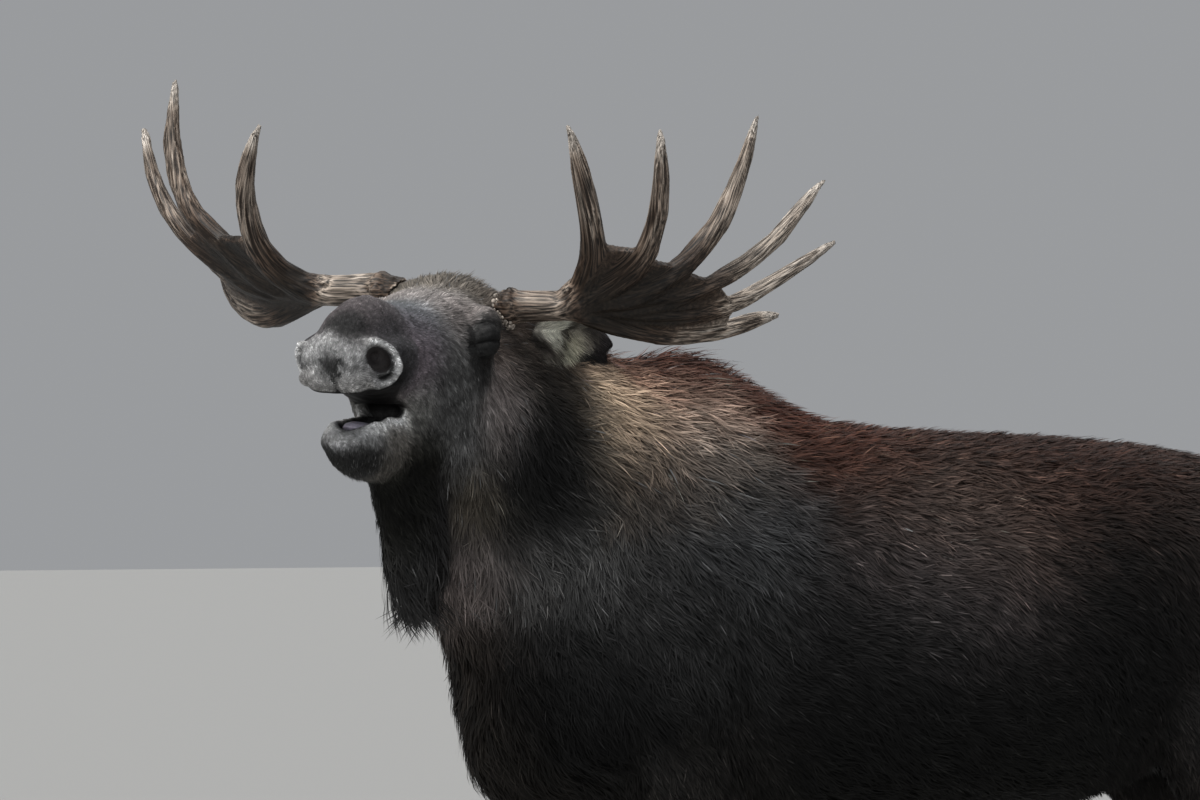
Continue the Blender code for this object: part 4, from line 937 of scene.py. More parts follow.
# %% Ways and sizes of the locks
# Length, rise and width of a lock.
LID_HAIR = np.array((0.0045, 0.0007, 0.0009))
LIP_HAIR = np.array((0.006, 0.0010, 0.0009))
HOOF_HAIR = np.array((0.034, 0.0050, 0.0021))
LOCK_FILLS = 0.62  # how much of its length by width a lock covers


def over_hooves(points):
    """1 low on the pasterns, where the hair hangs over the hooves."""
    return step(0.125 - (points[:, 2] - FEET[2]), 0, 0.035)


def coat_at(points, normals):
    """Way, length, rise and width of the locks at these roots."""
    ways, sizes = groom.at(points)
    ear = in_ears(points)[:, None]
    along_ear, inner = ear_share(points, normals)
    ear_axis = ((EAR_TIP - EAR_ROOT) * to_left(points)) @ HEAD_TURN.T
    up = np.array((0, 0, 1.0))
    fringe = ear_axis * 2.0 + up * 0.5 * (inner * np.sign(points[:, 2] - POLL[2] + 0.075))[:, None]
    ways = unit(ways * (1 - ear) + unit(fringe) * ear)
    inner = inner * step(along_ear, 0.1, 0.3)
    ear_sizes = np.column_stack([0.011 + 0.011 * inner, 0.0016 + 0.0022 * inner, 0.0010 + 0.0001 * inner])
    ear_sizes *= np.where(along_ear[:, None] > 0.86, (0.8, 0.6, 1.0), 1.0)
    h = to_head(points)
    fold = np.column_stack([np.abs(h[:, 0]), h[:, 1:]])
    along, across, outside = on_lids(fold)
    lids = (outside * np.exp(-((along / 0.050) ** 4)) * step(0.045 - np.abs(across), 0, 0.012))[:, None]
    sizes = sizes * (1 - lids) + LID_HAIR * lids
    from_bed, lip = on_lower_lip(h)
    rim = (lip * roll(from_bed, 1.0, 0.22))[:, None]
    sizes = sizes * (1 - rim) + LIP_HAIR * rim
    # The neck's hair is short where the ear lies against it.
    past = np.clip((fold - EAR_ROOT) @ (EAR_TIP - EAR_ROOT) / EAR_LENGTH**2, -0.2, 0.8)
    from_ear = np.linalg.norm(fold - EAR_ROOT - np.outer(past, EAR_TIP - EAR_ROOT), axis=1)
    by_ear = roll(from_ear, 0, 0.095)[:, None]
    sizes = sizes * (1 - by_ear * np.array((0.55, 0.60, 0.35)))
    # Longer hair hangs over the upper edge of the hooves.
    low = over_hooves(points)[:, None]
    ways = unit(ways + 0.40 * low * normals)
    sizes = sizes * (1 - low) + HOOF_HAIR * low
    return ways, sizes * (1 - ear) + ear_sizes * ear


def cover_of(length):
    """How many times over the locks cover the skin: more where they are long."""
    return np.interp(length, (0.006, 0.02, 0.045, 0.09), (1.5, 1.9, 3.1, 4.6))


_, sizes = coat_at(centre, smooth[tris].mean(1))
wanted = cover_of(sizes[:, 0]) * area / (sizes[:, 0] * sizes[:, 2] * LOCK_FILLS)
wanted *= bare[tris].mean(1) < 0.55
print("locks wanted", int(wanted.sum()))


# %% Roots, and the nearest skin
face_normal = unit(smooth[tris].mean(1))


def nearest(points):
    """The closest places on the skin and the smoothed normals there."""
    spots, normals = np.empty_like(points), np.empty_like(points)
    for k, point in enumerate(points.tolist()):
        spot, _, face, _ = tree.find_nearest(point)
        spots[k] = spot
        normals[k] = face_normal[face]
    return spots, normals


def scatter(chosen, rng):
    """The face, the shares of its corners, the place and the normal of each root."""
    count = np.floor(wanted[chosen] + rng.random(len(chosen))).astype(int)
    faces = np.repeat(np.arange(len(chosen)), count)
    share = rng.random((len(faces), 2))
    over = share.sum(1) > 1
    share[over] = 1 - share[over]
    share = np.column_stack([1 - share.sum(1), share])
    corners = tris[chosen[faces]]
    root = (co[corners] * share[:, :, None]).sum(1)
    return faces, share, root, unit((smooth[corners] * share[:, :, None]).sum(1))


print("faces that grow hair", int((wanted > 0).sum()), "of", len(wanted))


# %% The run of a lock
ROOT_DEPTH = 0.0008  # how deep a lock starts in the skin


def paths(root, out, steps, rng):
    """Places and normals at these steps along each lock, its width, and its landmark sizes."""
    total = len(root)
    way, sizes = coat_at(root, out)
    length, rise, width = (sizes * np.exp(rng.normal(0, (0.20, 0.30, 0.15), (total, 3)))).T
    length = np.minimum(length, sizes[:, 0] * 1.35)
    rise = np.minimum(rise, sizes[:, 1] * 1.30)
    # Hair that would have to bend back round an edge, and very long hair, hangs free instead.
    free = np.maximum(step((way * out).sum(1), 0.30, 0.75), step(length, 0.075, 0.115))
    free = np.maximum(free, over_hooves(root)) * np.interp(sizes[:, 0], (0.012, 0.022), (0.0, 1.0))
    raw = way
    # The way on the skin's plane, with wander, clumps and a little disorder.
    loose = np.interp(sizes[:, 0], (0.006, 0.03, 0.09), (0.25, 0.7, 1.0))
    wander = 0.22 * ripples(root, 0.16, 41) + 0.30 * ripples(root, 0.022, 42)
    turn = loose * (wander + rng.normal(0, 0.16, total))
    way = unit(way - out * (way * out).sum(1, keepdims=True))
    side = np.cross(out, way)
    way = unit(way + side * np.tan(np.clip(turn, -1.1, 1.1))[:, None])
    clump = 1 + 0.35 * loose * ripples(root, 0.016, 43)
    rise = rise * np.clip(clump, 0.35, 1.6)
    # March over the skin to the middle and the tip of the lock.
    middle, out_mid = nearest(root + way * (length * 0.5)[:, None])
    on = unit(way - out_mid * (way * out_mid).sum(1, keepdims=True))
    tip, out_tip = nearest(middle + on * (length * 0.5)[:, None])
    disorder = 0.10 * free[:, None] * rng.normal(0, 1, (total, 3))
    hanging = unit(way * (1 - 0.6 * free)[:, None] + raw * (0.6 * free)[:, None] + disorder)
    tip += free[:, None] * (root + hanging * length[:, None] - tip)
    middle += free[:, None] * (root + hanging * (0.5 * length)[:, None] - middle)
    # A smooth curve runs from just under the skin through the middle to the tip.
    start = root - out * ROOT_DEPTH
    middle = middle + out_mid * (rise * 0.62)[:, None]
    end = tip + out_tip * rise[:, None]
    spine = [(1 - u) * (1 - 2 * u) * start + 4 * u * (1 - u) * middle + u * (2 * u - 1) * end for u in steps]
    normals = [unit((1 - u) * out + u * out_tip) for u in steps]
    return spine, normals, width, sizes


lengths = sizes[wanted > 0, 0] * 1000
print("lengths before any disorder:", lengths.min().round(1), "to", lengths.max().round(1), "mm")


# %% A flat unwrap of the skin
def unwrapped(faces, name):
    """Corner places of these skin faces on a flat unwrap of their own shape."""
    used, index = np.unique(tris[faces], return_inverse=True)
    mesh = bpy.data.meshes.new(name)
    mesh.from_pydata(co[used].tolist(), [], index.reshape(-1, 3).tolist())
    obj = new_object(name, mesh)
    bpy.context.view_layer.objects.active = obj
    for other in bpy.context.selected_objects:
        other.select_set(False)
    obj.select_set(True)
    mesh.uv_layers.new(name="flat")
    bpy.ops.object.mode_set(mode="EDIT")
    bpy.ops.mesh.select_all(action="SELECT")
    bpy.ops.uv.smart_project(angle_limit=math.radians(66), island_margin=0.004)
    bpy.ops.object.mode_set(mode="OBJECT")
    places = np.empty(len(mesh.loops) * 2, np.float32)
    mesh.uv_layers["flat"].data.foreach_get("uv", places)
    bpy.data.objects.remove(obj)
    return places.reshape(-1, 3, 2).astype(float)


print("the skin to unwrap has", len(tris), "triangles")


# %% Shades of the locks
def tones(root, out, sizes, rng):
    """The colour of each lock, its shade, and how strongly the shade shows."""
    total = len(root)
    tone = coat_colour(root, out)
    shade = np.exp(rng.normal(0, 0.40, total) + 0.30 * ripples(root, 0.012, 44))[:, None]
    lengths = (0.0045, 0.006, 0.009, 0.012, 0.03, 0.05)
    bright = np.interp(sizes[:, 0], lengths, (0.9, 1.25, 1.1, 0.9, 0.8, 0.65))[:, None]
    bright = bright * (1 - 0.5 * in_ears(root)[:, None])
    tone = tone * np.exp(-0.06 * bright**2)
    # Here and there a pale hair stands in the dark coat, most of all on the chin.
    on_chin = roll(np.linalg.norm(to_head(root) - (0, 0.48, -0.32), axis=1), 0, 0.075)
    stray = rng.random(total) < (0.022 + 0.05 * on_chin) * step(sizes[:, 0], 0.010, 0.016)
    pale = np.maximum(tone, np.minimum(tone * 3 + 0.08 * on_chin[:, None], 0.14))
    return np.where(stray[:, None], pale, tone), shade, bright


def lock_mesh(name, points, corners, colours, locks, shading, flat):
    """One mesh of strips, from their points, corners and what is stored on each point."""
    mesh = bpy.data.meshes.new(name)
    mesh.vertices.add(len(points))
    mesh.vertices.foreach_set("co", points.astype(np.float32).ravel())
    mesh.loops.add(corners.size)
    mesh.loops.foreach_set("vertex_index", corners.astype(np.int32).ravel())
    mesh.polygons.add(len(corners))
    mesh.polygons.foreach_set("loop_start", np.arange(0, corners.size, 3, dtype=np.int32))
    mesh.update(calc_edges=True)
    colour_attribute(mesh, "tone", colours)
    lock = mesh.attributes.new("lock", "FLOAT_VECTOR", "POINT")
    lock.data.foreach_set("vector", locks.astype(np.float32).ravel())
    bake_map = mesh.uv_layers.new(name="OFBake")
    bake_map.data.foreach_set("uv", np.clip(flat, 0, 1)[corners.ravel()].astype(np.float32).ravel())
    mesh.shade_smooth()
    mesh.normals_split_custom_set_from_vertices(shading.tolist())
    return mesh


print("pale hairs stand most of all near", from_head((0, 0.48, -0.32)).round(2))

# %% One piece of the coat
HALF_WIDTHS = {1: (0.4, 0.5, 0), 2: (0.36, 0.5, 0.36, 0)}  # shares of the width, by sections
PATCH = 0.003  # size of the place where a lock is baked


def grow(name, chosen, seed, sections=2):
    """Locks over the chosen skin faces, in one mesh."""
    rng = np.random.default_rng(seed)
    faces, share, root, out = scatter(chosen, rng)
    total = len(faces)
    steps = [k / (sections + 1) for k in range(sections + 2)]
    spine, normals, width, sizes = paths(root, out, steps, rng)
    tilt = rng.normal(0, 0.35, total)[:, None]
    tone, shade, bright = tones(root, out, sizes, rng)
    chance = rng.random(total)
    points, colours, shading, locks = [], [], [], []
    for k, u in enumerate(steps):
        along = unit(spine[min(k + 1, len(steps) - 1)] - spine[max(k - 1, 0)])
        across = unit(np.cross(normals[k], along))
        across = across * np.cos(tilt) + normals[k] * np.sin(tilt)
        blade_out = unit(np.cross(along, across))
        half = (width * HALF_WIDTHS[sections][k])[:, None]
        # Each lock is darker at its root, painted shade where the coat covers it, and paler to its tip, as
        # guard hairs are.
        tone_here = tone * (0.68 + 0.45 * u) * shade ** (bright * (0.35 + 0.65 * u))
        soft = unit(normals[k] * 0.62 + blade_out * 0.38)
        for edge in ((-1, 1) if k < len(steps) - 1 else (0,)):
            points.append(spine[k] + across * half * edge)
            colours.append(tone_here)
            shading.append(soft)
            locks.append(np.column_stack([np.full(total, edge * 0.5), np.full(total, u), chance]))
    per = len(points)
    strip = []
    for k in range(sections):
        strip += [(2 * k, 2 * k + 3, 2 * k + 1), (2 * k, 2 * k + 2, 2 * k + 3)]
    strip.append((2 * sections, 2 * sections + 2, 2 * sections + 1))
    base = (np.arange(total) * per)[:, None]
    corners = (base[:, :, None] + np.array(strip)[None]).reshape(-1, 3)
    # Where each lock is baked: a tiny patch at its root on the unwrap of the skin.
    flat = (unwrapped(chosen, "unwrap")[faces] * share[:, :, None]).sum(1)
    patch = [((-0.5, 0.5)[k % 2], k // 2 / sections - 0.5) for k in range(per - 1)] + [(0, 0.7)]
    flat = (flat[:, None, :] + np.array(patch)[None] * PATCH).reshape(-1, 2)
    stored = [np.stack(rows, 1).reshape(-1, 3) for rows in (points, colours, locks, shading)]
    mesh = lock_mesh(name, stored[0], corners, stored[1], stored[2], stored[3], flat)
    return new_object(name, mesh), total


print({sections: 2 * sections + 1 for sections in HALF_WIDTHS}, "triangles in a lock, by its sections")

# %% Grow the whole coat
PIECE_TRIANGLES = 185000
coat = []
for number, name in enumerate(sorted(set(regions))):
    chosen = np.nonzero(regions == name)[0]
    sections = 1 if name in ("muzzle", "face", "ears", "forelegs", "hind legs") else 2
    triangles = wanted[chosen].sum() * (2 * sections + 1)
    parts = max(1, math.ceil(triangles / PIECE_TRIANGLES))
    # A region with too many locks for one piece is cut into slices of equal growth.
    order = chosen[np.argsort(centre[chosen] @ (0.1, 1.0, 0.3))]
    growth = np.cumsum(wanted[order])
    for part in range(parts):
        mine = order[(growth > growth[-1] * part / parts) & (growth <= growth[-1] * (part + 1) / parts)]
        label = "coat " + name + (f" {part + 1}" if parts > 1 else "")
        piece, total = grow(label.replace(" ", "_"), mine, 100 + 10 * number + part, sections)
        coat.append(piece)
        print(f"{label:24s} {total:6d} locks {len(piece.data.polygons):7d} triangles")
print("coat triangles in all", sum(len(piece.data.polygons) for piece in coat))

# %% [markdown]
# ## Materials of the coat and skin
# Dry hair hardly shines, so both are rough. Both read the colours stored on their points, where
# images could have been baked instead, which would cost a file for each piece. On the locks a
# fine streaky bump runs along each strip, as if it were made of single hairs. On the skin the
# bump is a fine nap, which shows on the nose and round the eyes, where the hair is short and
# flat. Bare skin is a little smoother.
# %% Materials and relief
def material(name, roughness, colour=(0.5, 0.5, 0.5), **sockets):
    """A material with its nodes, links and shader; more sockets are set by name."""
    made = bpy.data.materials.new(name)
    made.use_nodes = True
    shader = made.node_tree.nodes["Principled BSDF"]
    shader.inputs["Base Color"].default_value = (*colour, 1)
    shader.inputs["Roughness"].default_value = roughness
    for socket, value in sockets.items():
        shader.inputs[socket.replace("_", " ")].default_value = value
    return made, made.node_tree.nodes, made.node_tree.links, shader


def wear(obj, made):
    """Gives the object its material and rides it on the body."""
    obj.data.materials.clear()
    obj.data.materials.append(made)
    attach(obj, "root")


def bump_from(nodes_, links, height, shader, strength, distance):
    """Small relief from a height value."""
    bump = nodes_.new("ShaderNodeBump")
    bump.inputs["Strength"].default_value = strength
    bump.inputs["Distance"].default_value = distance
    links.new(height, bump.inputs["Height"])
    links.new(bump.outputs["Normal"], shader.inputs["Normal"])
    return bump


print("materials before the first one", len(bpy.data.materials))


# %% Patterns and colours
def noise(nodes_, links, place_, scale, detail=3.0, stretch=None):
    """Noise at these places, which may be stretched first."""
    made = nodes_.new("ShaderNodeTexNoise")
    made.inputs["Scale"].default_value = scale
    made.inputs["Detail"].default_value = detail
    if stretch:
        by = nodes_.new("ShaderNodeMapping")
        by.inputs["Scale"].default_value = stretch
        links.new(place_, by.inputs["Vector"])
        place_ = by.outputs["Vector"]
    links.new(place_, made.inputs["Vector"])
    return made


def mixed(nodes_, links, share, first, second, blend="MIX"):
    """A mix of two colours, each a value, a colour or an output."""
    mix = nodes_.new("ShaderNodeMix")
    mix.data_type = "RGBA"
    mix.blend_type = blend
    for socket, value in ((mix.inputs["Factor"], share), (mix.inputs["A"], first), (mix.inputs["B"], second)):
        if isinstance(value, (int, float)):
            socket.default_value = value
        elif isinstance(value, tuple):
            socket.default_value = (*value, 1)
        else:
            links.new(value, socket)
    return mix.outputs["Result"]


def ramp(nodes_, links, value, *stops):
    """Colours or greys at stops of a value."""
    made = nodes_.new("ShaderNodeValToRGB")
    while len(made.color_ramp.elements) < len(stops):
        made.color_ramp.elements.new(0.5)
    for element, (position, colour) in zip(made.color_ramp.elements, stops):
        element.position = position
        element.color = (*colour, 1) if isinstance(colour, tuple) else (colour, colour, colour, 1)
    links.new(value, made.inputs["Fac"])
    return made.outputs["Color"]


def attribute(nodes_, name):
    """Reads what is stored on the points under this name."""
    made = nodes_.new("ShaderNodeAttribute")
    made.attribute_name = name
    return made


print("stored on the skin:", [name for name in ("tone", "bare") if name in skin.data.attributes])

# %% Coat
hair_mat, n, l, shader = material("moose coat", 0.55, Specular_IOR_Level=0.12)
tone_in = attribute(n, "tone").outputs["Color"]
lock_in = attribute(n, "lock").outputs["Vector"]
strands = noise(n, l, lock_in, 1.0, 2.0, (9.0, 1.6, 90.0))
streak = ramp(n, l, strands.outputs["Fac"], (0.30, 0.55), (0.70, 1.35))
l.new(mixed(n, l, 1.0, tone_in, streak, "MULTIPLY"), shader.inputs["Base Color"])
bump_from(n, l, strands.outputs["Fac"], shader, 0.5, 0.0012)
for piece in coat:
    wear(piece, hair_mat)
print(len(coat), "pieces of coat share one material")

# %% Skin
skin_mat, n, l, shader = material("moose skin", 0.6, Specular_IOR_Level=0.2)
tone_in = attribute(n, "tone").outputs["Color"]
bare_in = attribute(n, "bare").outputs["Fac"]
where = n.new("ShaderNodeTexCoord").outputs["Object"]
nap = noise(n, l, where, 420.0, 4.0)
speckle = ramp(n, l, nap.outputs["Fac"], (0.35, 0.55), (0.65, 1.35))
l.new(mixed(n, l, 1.0, tone_in, speckle, "MULTIPLY"), shader.inputs["Base Color"])
smoothness = n.new("ShaderNodeMapRange")
smoothness.inputs["To Min"].default_value = 0.7
smoothness.inputs["To Max"].default_value = 0.65
l.new(bare_in, smoothness.inputs["Value"])
l.new(smoothness.outputs["Result"], shader.inputs["Roughness"])
bump_from(n, l, nap.outputs["Fac"], shader, 0.5, 0.0012)
wear(skin, skin_mat)
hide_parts(*flesh)
print("the skin takes the place of", len(flesh), "solids")

# %% [markdown]
# ## Antlers
# An antler is bone that grew under velvet. The vessels of the velvet left ridges and grooves
# that run from the foot to the tips. Round the foot sits a burr of pearls. Palms are dark brown,
# and beams, edges and tips are rubbed pale. Each antler is melted from its solids into one form.
# Stretched noise would run one way over the whole antler, so the ridges are read from places
# that hardly change along each tine.
# %% Axes of the tines
FORK = np.array((0.26, -0.055, -0.01))
ANTLER_FOOT = np.array((0.088, -0.050, -0.020))
# The axes of the tines from the beam to their tips, each place with the radius there.
BEAM = ((0.085, -0.048, -0.020, 0.030), (0.176, -0.050, -0.014, 0.030))
TINES = {
    "left": (
        ((0.250, -0.055, -0.005, 0.030), (0.309, -0.015, 0.085, 0.027),
         (0.319, 0.060, 0.172, 0.022), (0.289, 0.157, 0.349, 0.006)),
        ((0.262, -0.056, 0.000, 0.026), (0.405, -0.020, 0.086, 0.023),
         (0.446, 0.020, 0.171, 0.020), (0.454, 0.070, 0.353, 0.006)),
        ((0.265, -0.058, -0.002, 0.022), (0.464, -0.090, 0.076, 0.022),
         (0.531, -0.120, 0.171, 0.021), (0.588, -0.158, 0.398, 0.006)),
        ((0.268, -0.060, -0.006, 0.020), (0.522, -0.160, 0.056, 0.018),
         (0.620, -0.210, 0.143, 0.017), (0.706, -0.270, 0.278, 0.006)),
        ((0.270, -0.062, -0.012, 0.020), (0.540, -0.240, 0.016, 0.018),
         (0.624, -0.310, 0.081, 0.015), (0.707, -0.380, 0.156, 0.007)),
        ((0.272, -0.065, -0.022, 0.021), (0.420, -0.190, -0.060, 0.017),
         (0.505, -0.295, -0.040, 0.018), (0.586, -0.420, 0.000, 0.009)),
    ),
    "right": (
        ((0.265, -0.058, -0.015, 0.030), (0.366, -0.008, 0.040, 0.028),
         (0.391, 0.070, 0.147, 0.022), (0.344, 0.157, 0.310, 0.006)),
        ((0.275, -0.060, -0.018, 0.024), (0.491, -0.100, 0.064, 0.022),
         (0.580, -0.120, 0.138, 0.022), (0.641, -0.158, 0.395, 0.007)),
        ((0.278, -0.062, -0.020, 0.022), (0.542, -0.165, 0.036, 0.018),
         (0.646, -0.200, 0.118, 0.018), (0.743, -0.270, 0.294, 0.008)),
        ((0.280, -0.064, -0.024, 0.020), (0.535, -0.225, 0.010, 0.017),
         (0.612, -0.290, 0.065, 0.015), (0.672, -0.360, 0.135, 0.007)),
        ((0.280, -0.068, -0.030, 0.021), (0.425, -0.190, -0.082, 0.019),
         (0.500, -0.245, -0.055, 0.018), (0.590, -0.370, 0.016, 0.008)),
    ),
}
# How pale each tine is rubbed, and each beam.
WORN = {"left": (0.50, 0.46, 0.60, 0.74, 0.78, 0.66), "right": (0.52, 0.52, 0.54, 0.58, 0.60)}
BEAM_WORN = {"left": 0.50, "right": 0.64}
print({side: len(TINES[side]) for side in TINES}, "tines")


# %% Places that hardly change along a tine
def smooth_path(tine):
    """60 even places along the beam and a tine, with their radii, and how far along each is."""
    path = np.array(BEAM + tine)
    for _ in range(3):  # its corners are cut, three times over
        before, after = 0.75 * path[:-1] + 0.25 * path[1:], 0.25 * path[:-1] + 0.75 * path[1:]
        cut_corners = np.stack([before, after], 1).reshape(-1, 4)
        path = np.vstack([path[:1], cut_corners[1:-1], path[-1:]])
    gone = np.concatenate([[0], np.cumsum(np.linalg.norm(np.diff(path[:, :3], axis=0), axis=1))])
    even = np.linspace(0, gone[-1], 60)
    return np.column_stack([np.interp(even, gone, path[:, k]) for k in range(4)]), even


def grain_of(h, side):
    """Places that hardly change along a tine, for each tine, the tines' shares, the places
    blended, how far each is from its tip, and 1 where the tines agree on the places."""
    near, places, to_tip = [], [], []
    for tine in TINES[side]:
        path, even = smooth_path(tine)
        off = ((h[:, None, :] - path[None, :, :3]) ** 2).sum(2)
        weight = np.exp(-(off - off.min(1, keepdims=True)) / (2 * 0.016**2))
        gone = weight @ even / weight.sum(1)
        here = np.column_stack([np.interp(gone, even, path[:, k]) for k in range(4)])
        off = h - here[:, :3]
        near.append(np.linalg.norm(off, axis=1) / here[:, 3])
        places.append(off * (0.02 / here[:, 3:]) + np.outer(gone * 0.05, (0.5, -0.6, 0.62)))
        to_tip.append(even[-1] - gone)
    best = np.stack(near)
    share = np.exp(-4.0 * (best - best.min(0)))  # mostly the nearest tine
    share /= share.sum(0)
    grain = (share[:, :, None] * np.stack(places)).sum(0)
    from_tip = (share * np.stack(to_tip)).sum(0)
    spread = (share[:, :, None] * np.stack([place - grain for place in places]) ** 2).sum((0, 2)) ** 0.5
    return places, share, grain, from_tip, step(0.020 - spread, 0, 0.014)


longest_tine = max(smooth_path(tine)[1][-1] for tine in TINES["left"])
print("the longest tine and its beam are", (longest_tine * 1000).round(0), "mm along the axis")


# %% Melt and sculpt the antlers
def antler_form(names, side, mirror):
    """The solids of one antler and a round foot as one shell."""
    form = merged_copies(names, f"antler_{side}", lambda name: OVERLAP)
    foot = bmesh.new()
    bmesh.ops.create_uvsphere(foot, u_segments=24, v_segments=12, radius=0.026)
    bmesh.ops.translate(foot, verts=foot.verts, vec=from_head(ANTLER_FOOT * mirror))
    foot.from_mesh(form.data)
    foot.to_mesh(form.data)
    foot.free()
    return melted(form, f"antler_{side}", 0.0032)


def antler(side, sign):
    """One antler with its ridges, and what its material reads stored on the points."""
    mirror = np.array((sign, 1, 1))
    names = sorted(name for name in nodes if name.startswith(f"antler_{side}"))
    form = antler_form(names, side, mirror)
    mesh = form.data
    ends = edges_of(mesh)
    co = relax(points_of(mesh), ends, 6)
    put_points(mesh, co)
    out = unit(relax(normals_of(mesh), ends, 3))
    h = to_head(co) * mirror
    far = np.linalg.norm(h - FORK, axis=1)
    places, share, grain, from_tip, clear = grain_of(h, side)
    ridges, broad_ridges = np.zeros(len(h)), np.zeros(len(h))
    for place, part in zip(places, share):
        ridges += part * ripples(place, 0.0075, 51)
        broad_ridges += part * ripples(place, 0.022, 52)
    on_beam = step(-far, -0.17, -0.09) * step(0.30 - h[:, 0], 0, 0.05)
    on_tine = 1 - step(from_tip, 0.20, 0.34)
    height = (0.0004 + 0.0008 * on_beam) * ridges + (0.0011 - 0.0004 * on_tine) * broad_ridges
    # Small knobs, thickest towards the burr.
    near_burr = step(-(h[:, 0] - 0.09), -0.12, -0.02)
    height += 0.0014 * near_burr * np.maximum(ripples(h, 0.016, 55), 0)
    height -= 0.0010 * (1 - step(from_tip, 0.0, 0.03)) * ridges.clip(-1, 1)
    put_points(mesh, co + out * height[:, None])
    mesh.shade_smooth()
    cut = step(-(0.8 * ridges + 0.3 * broad_ridges), 0.3, 1.8)
    number_attribute(mesh, "groove", cut * (0.4 + 0.6 * clear))
    number_attribute(mesh, "clear", clear)
    line_place = mesh.attributes.new("grain", "FLOAT_VECTOR", "POINT")
    line_place.data.foreach_set("vector", grain.astype(np.float32).ravel())
    # Rubbed pale: the tips, the thin edges between the tines and the beam.
    tip_like = 1 - step(from_tip, 0.02, 0.13)
    tine_like = (1 - step(from_tip, 0.20, 0.40)) * (np.array(WORN[side]) @ share)
    edge_like = step(1 - np.linalg.norm(relax(out, ends, 10), axis=1), 0.03, 0.16)
    rub = np.maximum.reduce([tip_like, tine_like, 0.50 * edge_like, BEAM_WORN[side] * on_beam])
    number_attribute(mesh, "rub", np.clip(rub + 0.10 * ridges * step(rub, 0.1, 0.5), 0, 1))
    return form, names


antlers = {}
for side, sign in (("left", 1), ("right", -1)):
    antlers[side] = antler(side, sign)
    print(side, "antler", len(antlers[side][0].data.polygons), "faces from", antlers[side][1])

# %% Burrs of pearls
BURR = np.array((0.121, -0.050, -0.030))
BURR_AXIS = np.array((0.86, -0.05, 0.50))
PEARLS = 28  # in each row
PEARL_ROWS = ((0.0375, 0.018, 0.0037), (0.0350, 0.0225, 0.0030), (0.0355, 0.0135, 0.0030))


def pearls(side, sign):
    """A ragged ring of small knobs round the foot of the antler."""
    rng = np.random.default_rng(61 + sign)
    mirror = np.array((sign, 1, 1))
    mesh = bpy.data.meshes.new(f"burr_{side}")
    bm = bmesh.new()
    axis = BURR_AXIS / np.linalg.norm(BURR_AXIS)
    first = unit(np.cross(axis, (0, 1, 0)))
    second = np.cross(axis, first)
    for row, (radius, out, size) in enumerate(PEARL_ROWS):
        for k in range(PEARLS):
            angle = 2 * math.pi * (k + 0.5 * row + rng.uniform(-0.3, 0.3)) / PEARLS
            middle = BURR + axis * (out - 0.018 + rng.uniform(-0.0025, 0.0025))
            spoke = first * math.cos(angle) + second * math.sin(angle)
            middle = middle + spoke * (radius + rng.uniform(-0.002, 0.002))
            grown = size * rng.uniform(0.65, 1.35)
            made = bmesh.ops.create_uvsphere(bm, u_segments=12, v_segments=8, radius=1.0)["verts"]
            place_ = from_head(middle * mirror)
            turn = Matrix.Rotation(rng.uniform(0, 3), 3, "X") @ Matrix.Rotation(rng.uniform(0, 3), 3, "Y")
            for vert in made:
                bump_ = turn @ (vert.co * grown * (1 + 0.10 * math.sin(7 * vert.co.x + 5 * vert.co.y + k)))
                vert.co = Vector(place_) + Vector((bump_.x, bump_.y, bump_.z))
    bm.to_mesh(mesh)
    bm.free()
    mesh.shade_smooth()
    number_attribute(mesh, "groove", np.zeros(len(mesh.vertices)))
    number_attribute(mesh, "clear", np.zeros(len(mesh.vertices)))
    mesh.attributes.new("grain", "FLOAT_VECTOR", "POINT")
    number_attribute(mesh, "rub", np.full(len(mesh.vertices), 0.85))
    return new_object(f"burr_{side}", mesh)


burrs = {side: pearls(side, sign) for side, sign in (("left", 1), ("right", -1))}
print("pearls", sum(len(burr.data.polygons) for burr in burrs.values()), "faces")

# %% Bone of the antlers
antler_mat, n, l, shader = material("antler", 0.5, Specular_IOR_Level=0.25)
where = n.new("ShaderNodeTexCoord").outputs["Object"]
rub, cut = attribute(n, "rub").outputs["Fac"], attribute(n, "groove").outputs["Fac"]
fine = noise(n, l, where, 160.0, 5.0)
lines = noise(n, l, attribute(n, "grain").outputs["Vector"], 420.0, 3.0)
broad = noise(n, l, where, 14.0, 3.0)
worn = ramp(n, l, rub, (0.0, (0.015, 0.011, 0.008)), (0.22, (0.042, 0.028, 0.020)),
            (0.40, (0.085, 0.062, 0.047)), (0.72, (0.240, 0.200, 0.165)), (1.0, (0.380, 0.340, 0.300)))
patchy = ramp(n, l, broad.outputs["Fac"], (0.30, 0.70), (0.70, 1.25))
pores = ramp(n, l, lines.outputs["Fac"], (0.38, 0.12), (0.49, 0.80), (0.62, 2.00))
specks = ramp(n, l, fine.outputs["Fac"], (0.36, 0.45), (0.50, 0.90), (0.64, 1.60))
pores = mixed(n, l, attribute(n, "clear").outputs["Fac"], specks, pores)
colour = mixed(n, l, 1.0, mixed(n, l, 1.0, worn, patchy, "MULTIPLY"), pores, "MULTIPLY")
l.new(mixed(n, l, cut, colour, (0.014, 0.009, 0.006)), shader.inputs["Base Color"])
bump_from(n, l, mixed(n, l, 0.35, lines.outputs["Fac"], fine.outputs["Fac"]), shader, 0.6, 0.0022)
for side in ("left", "right"):
    form, names = antlers[side]
    wear(form, antler_mat)
    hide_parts(*names)
    wear(burrs[side], antler_mat)
print("antlers wear", antler_mat.name)

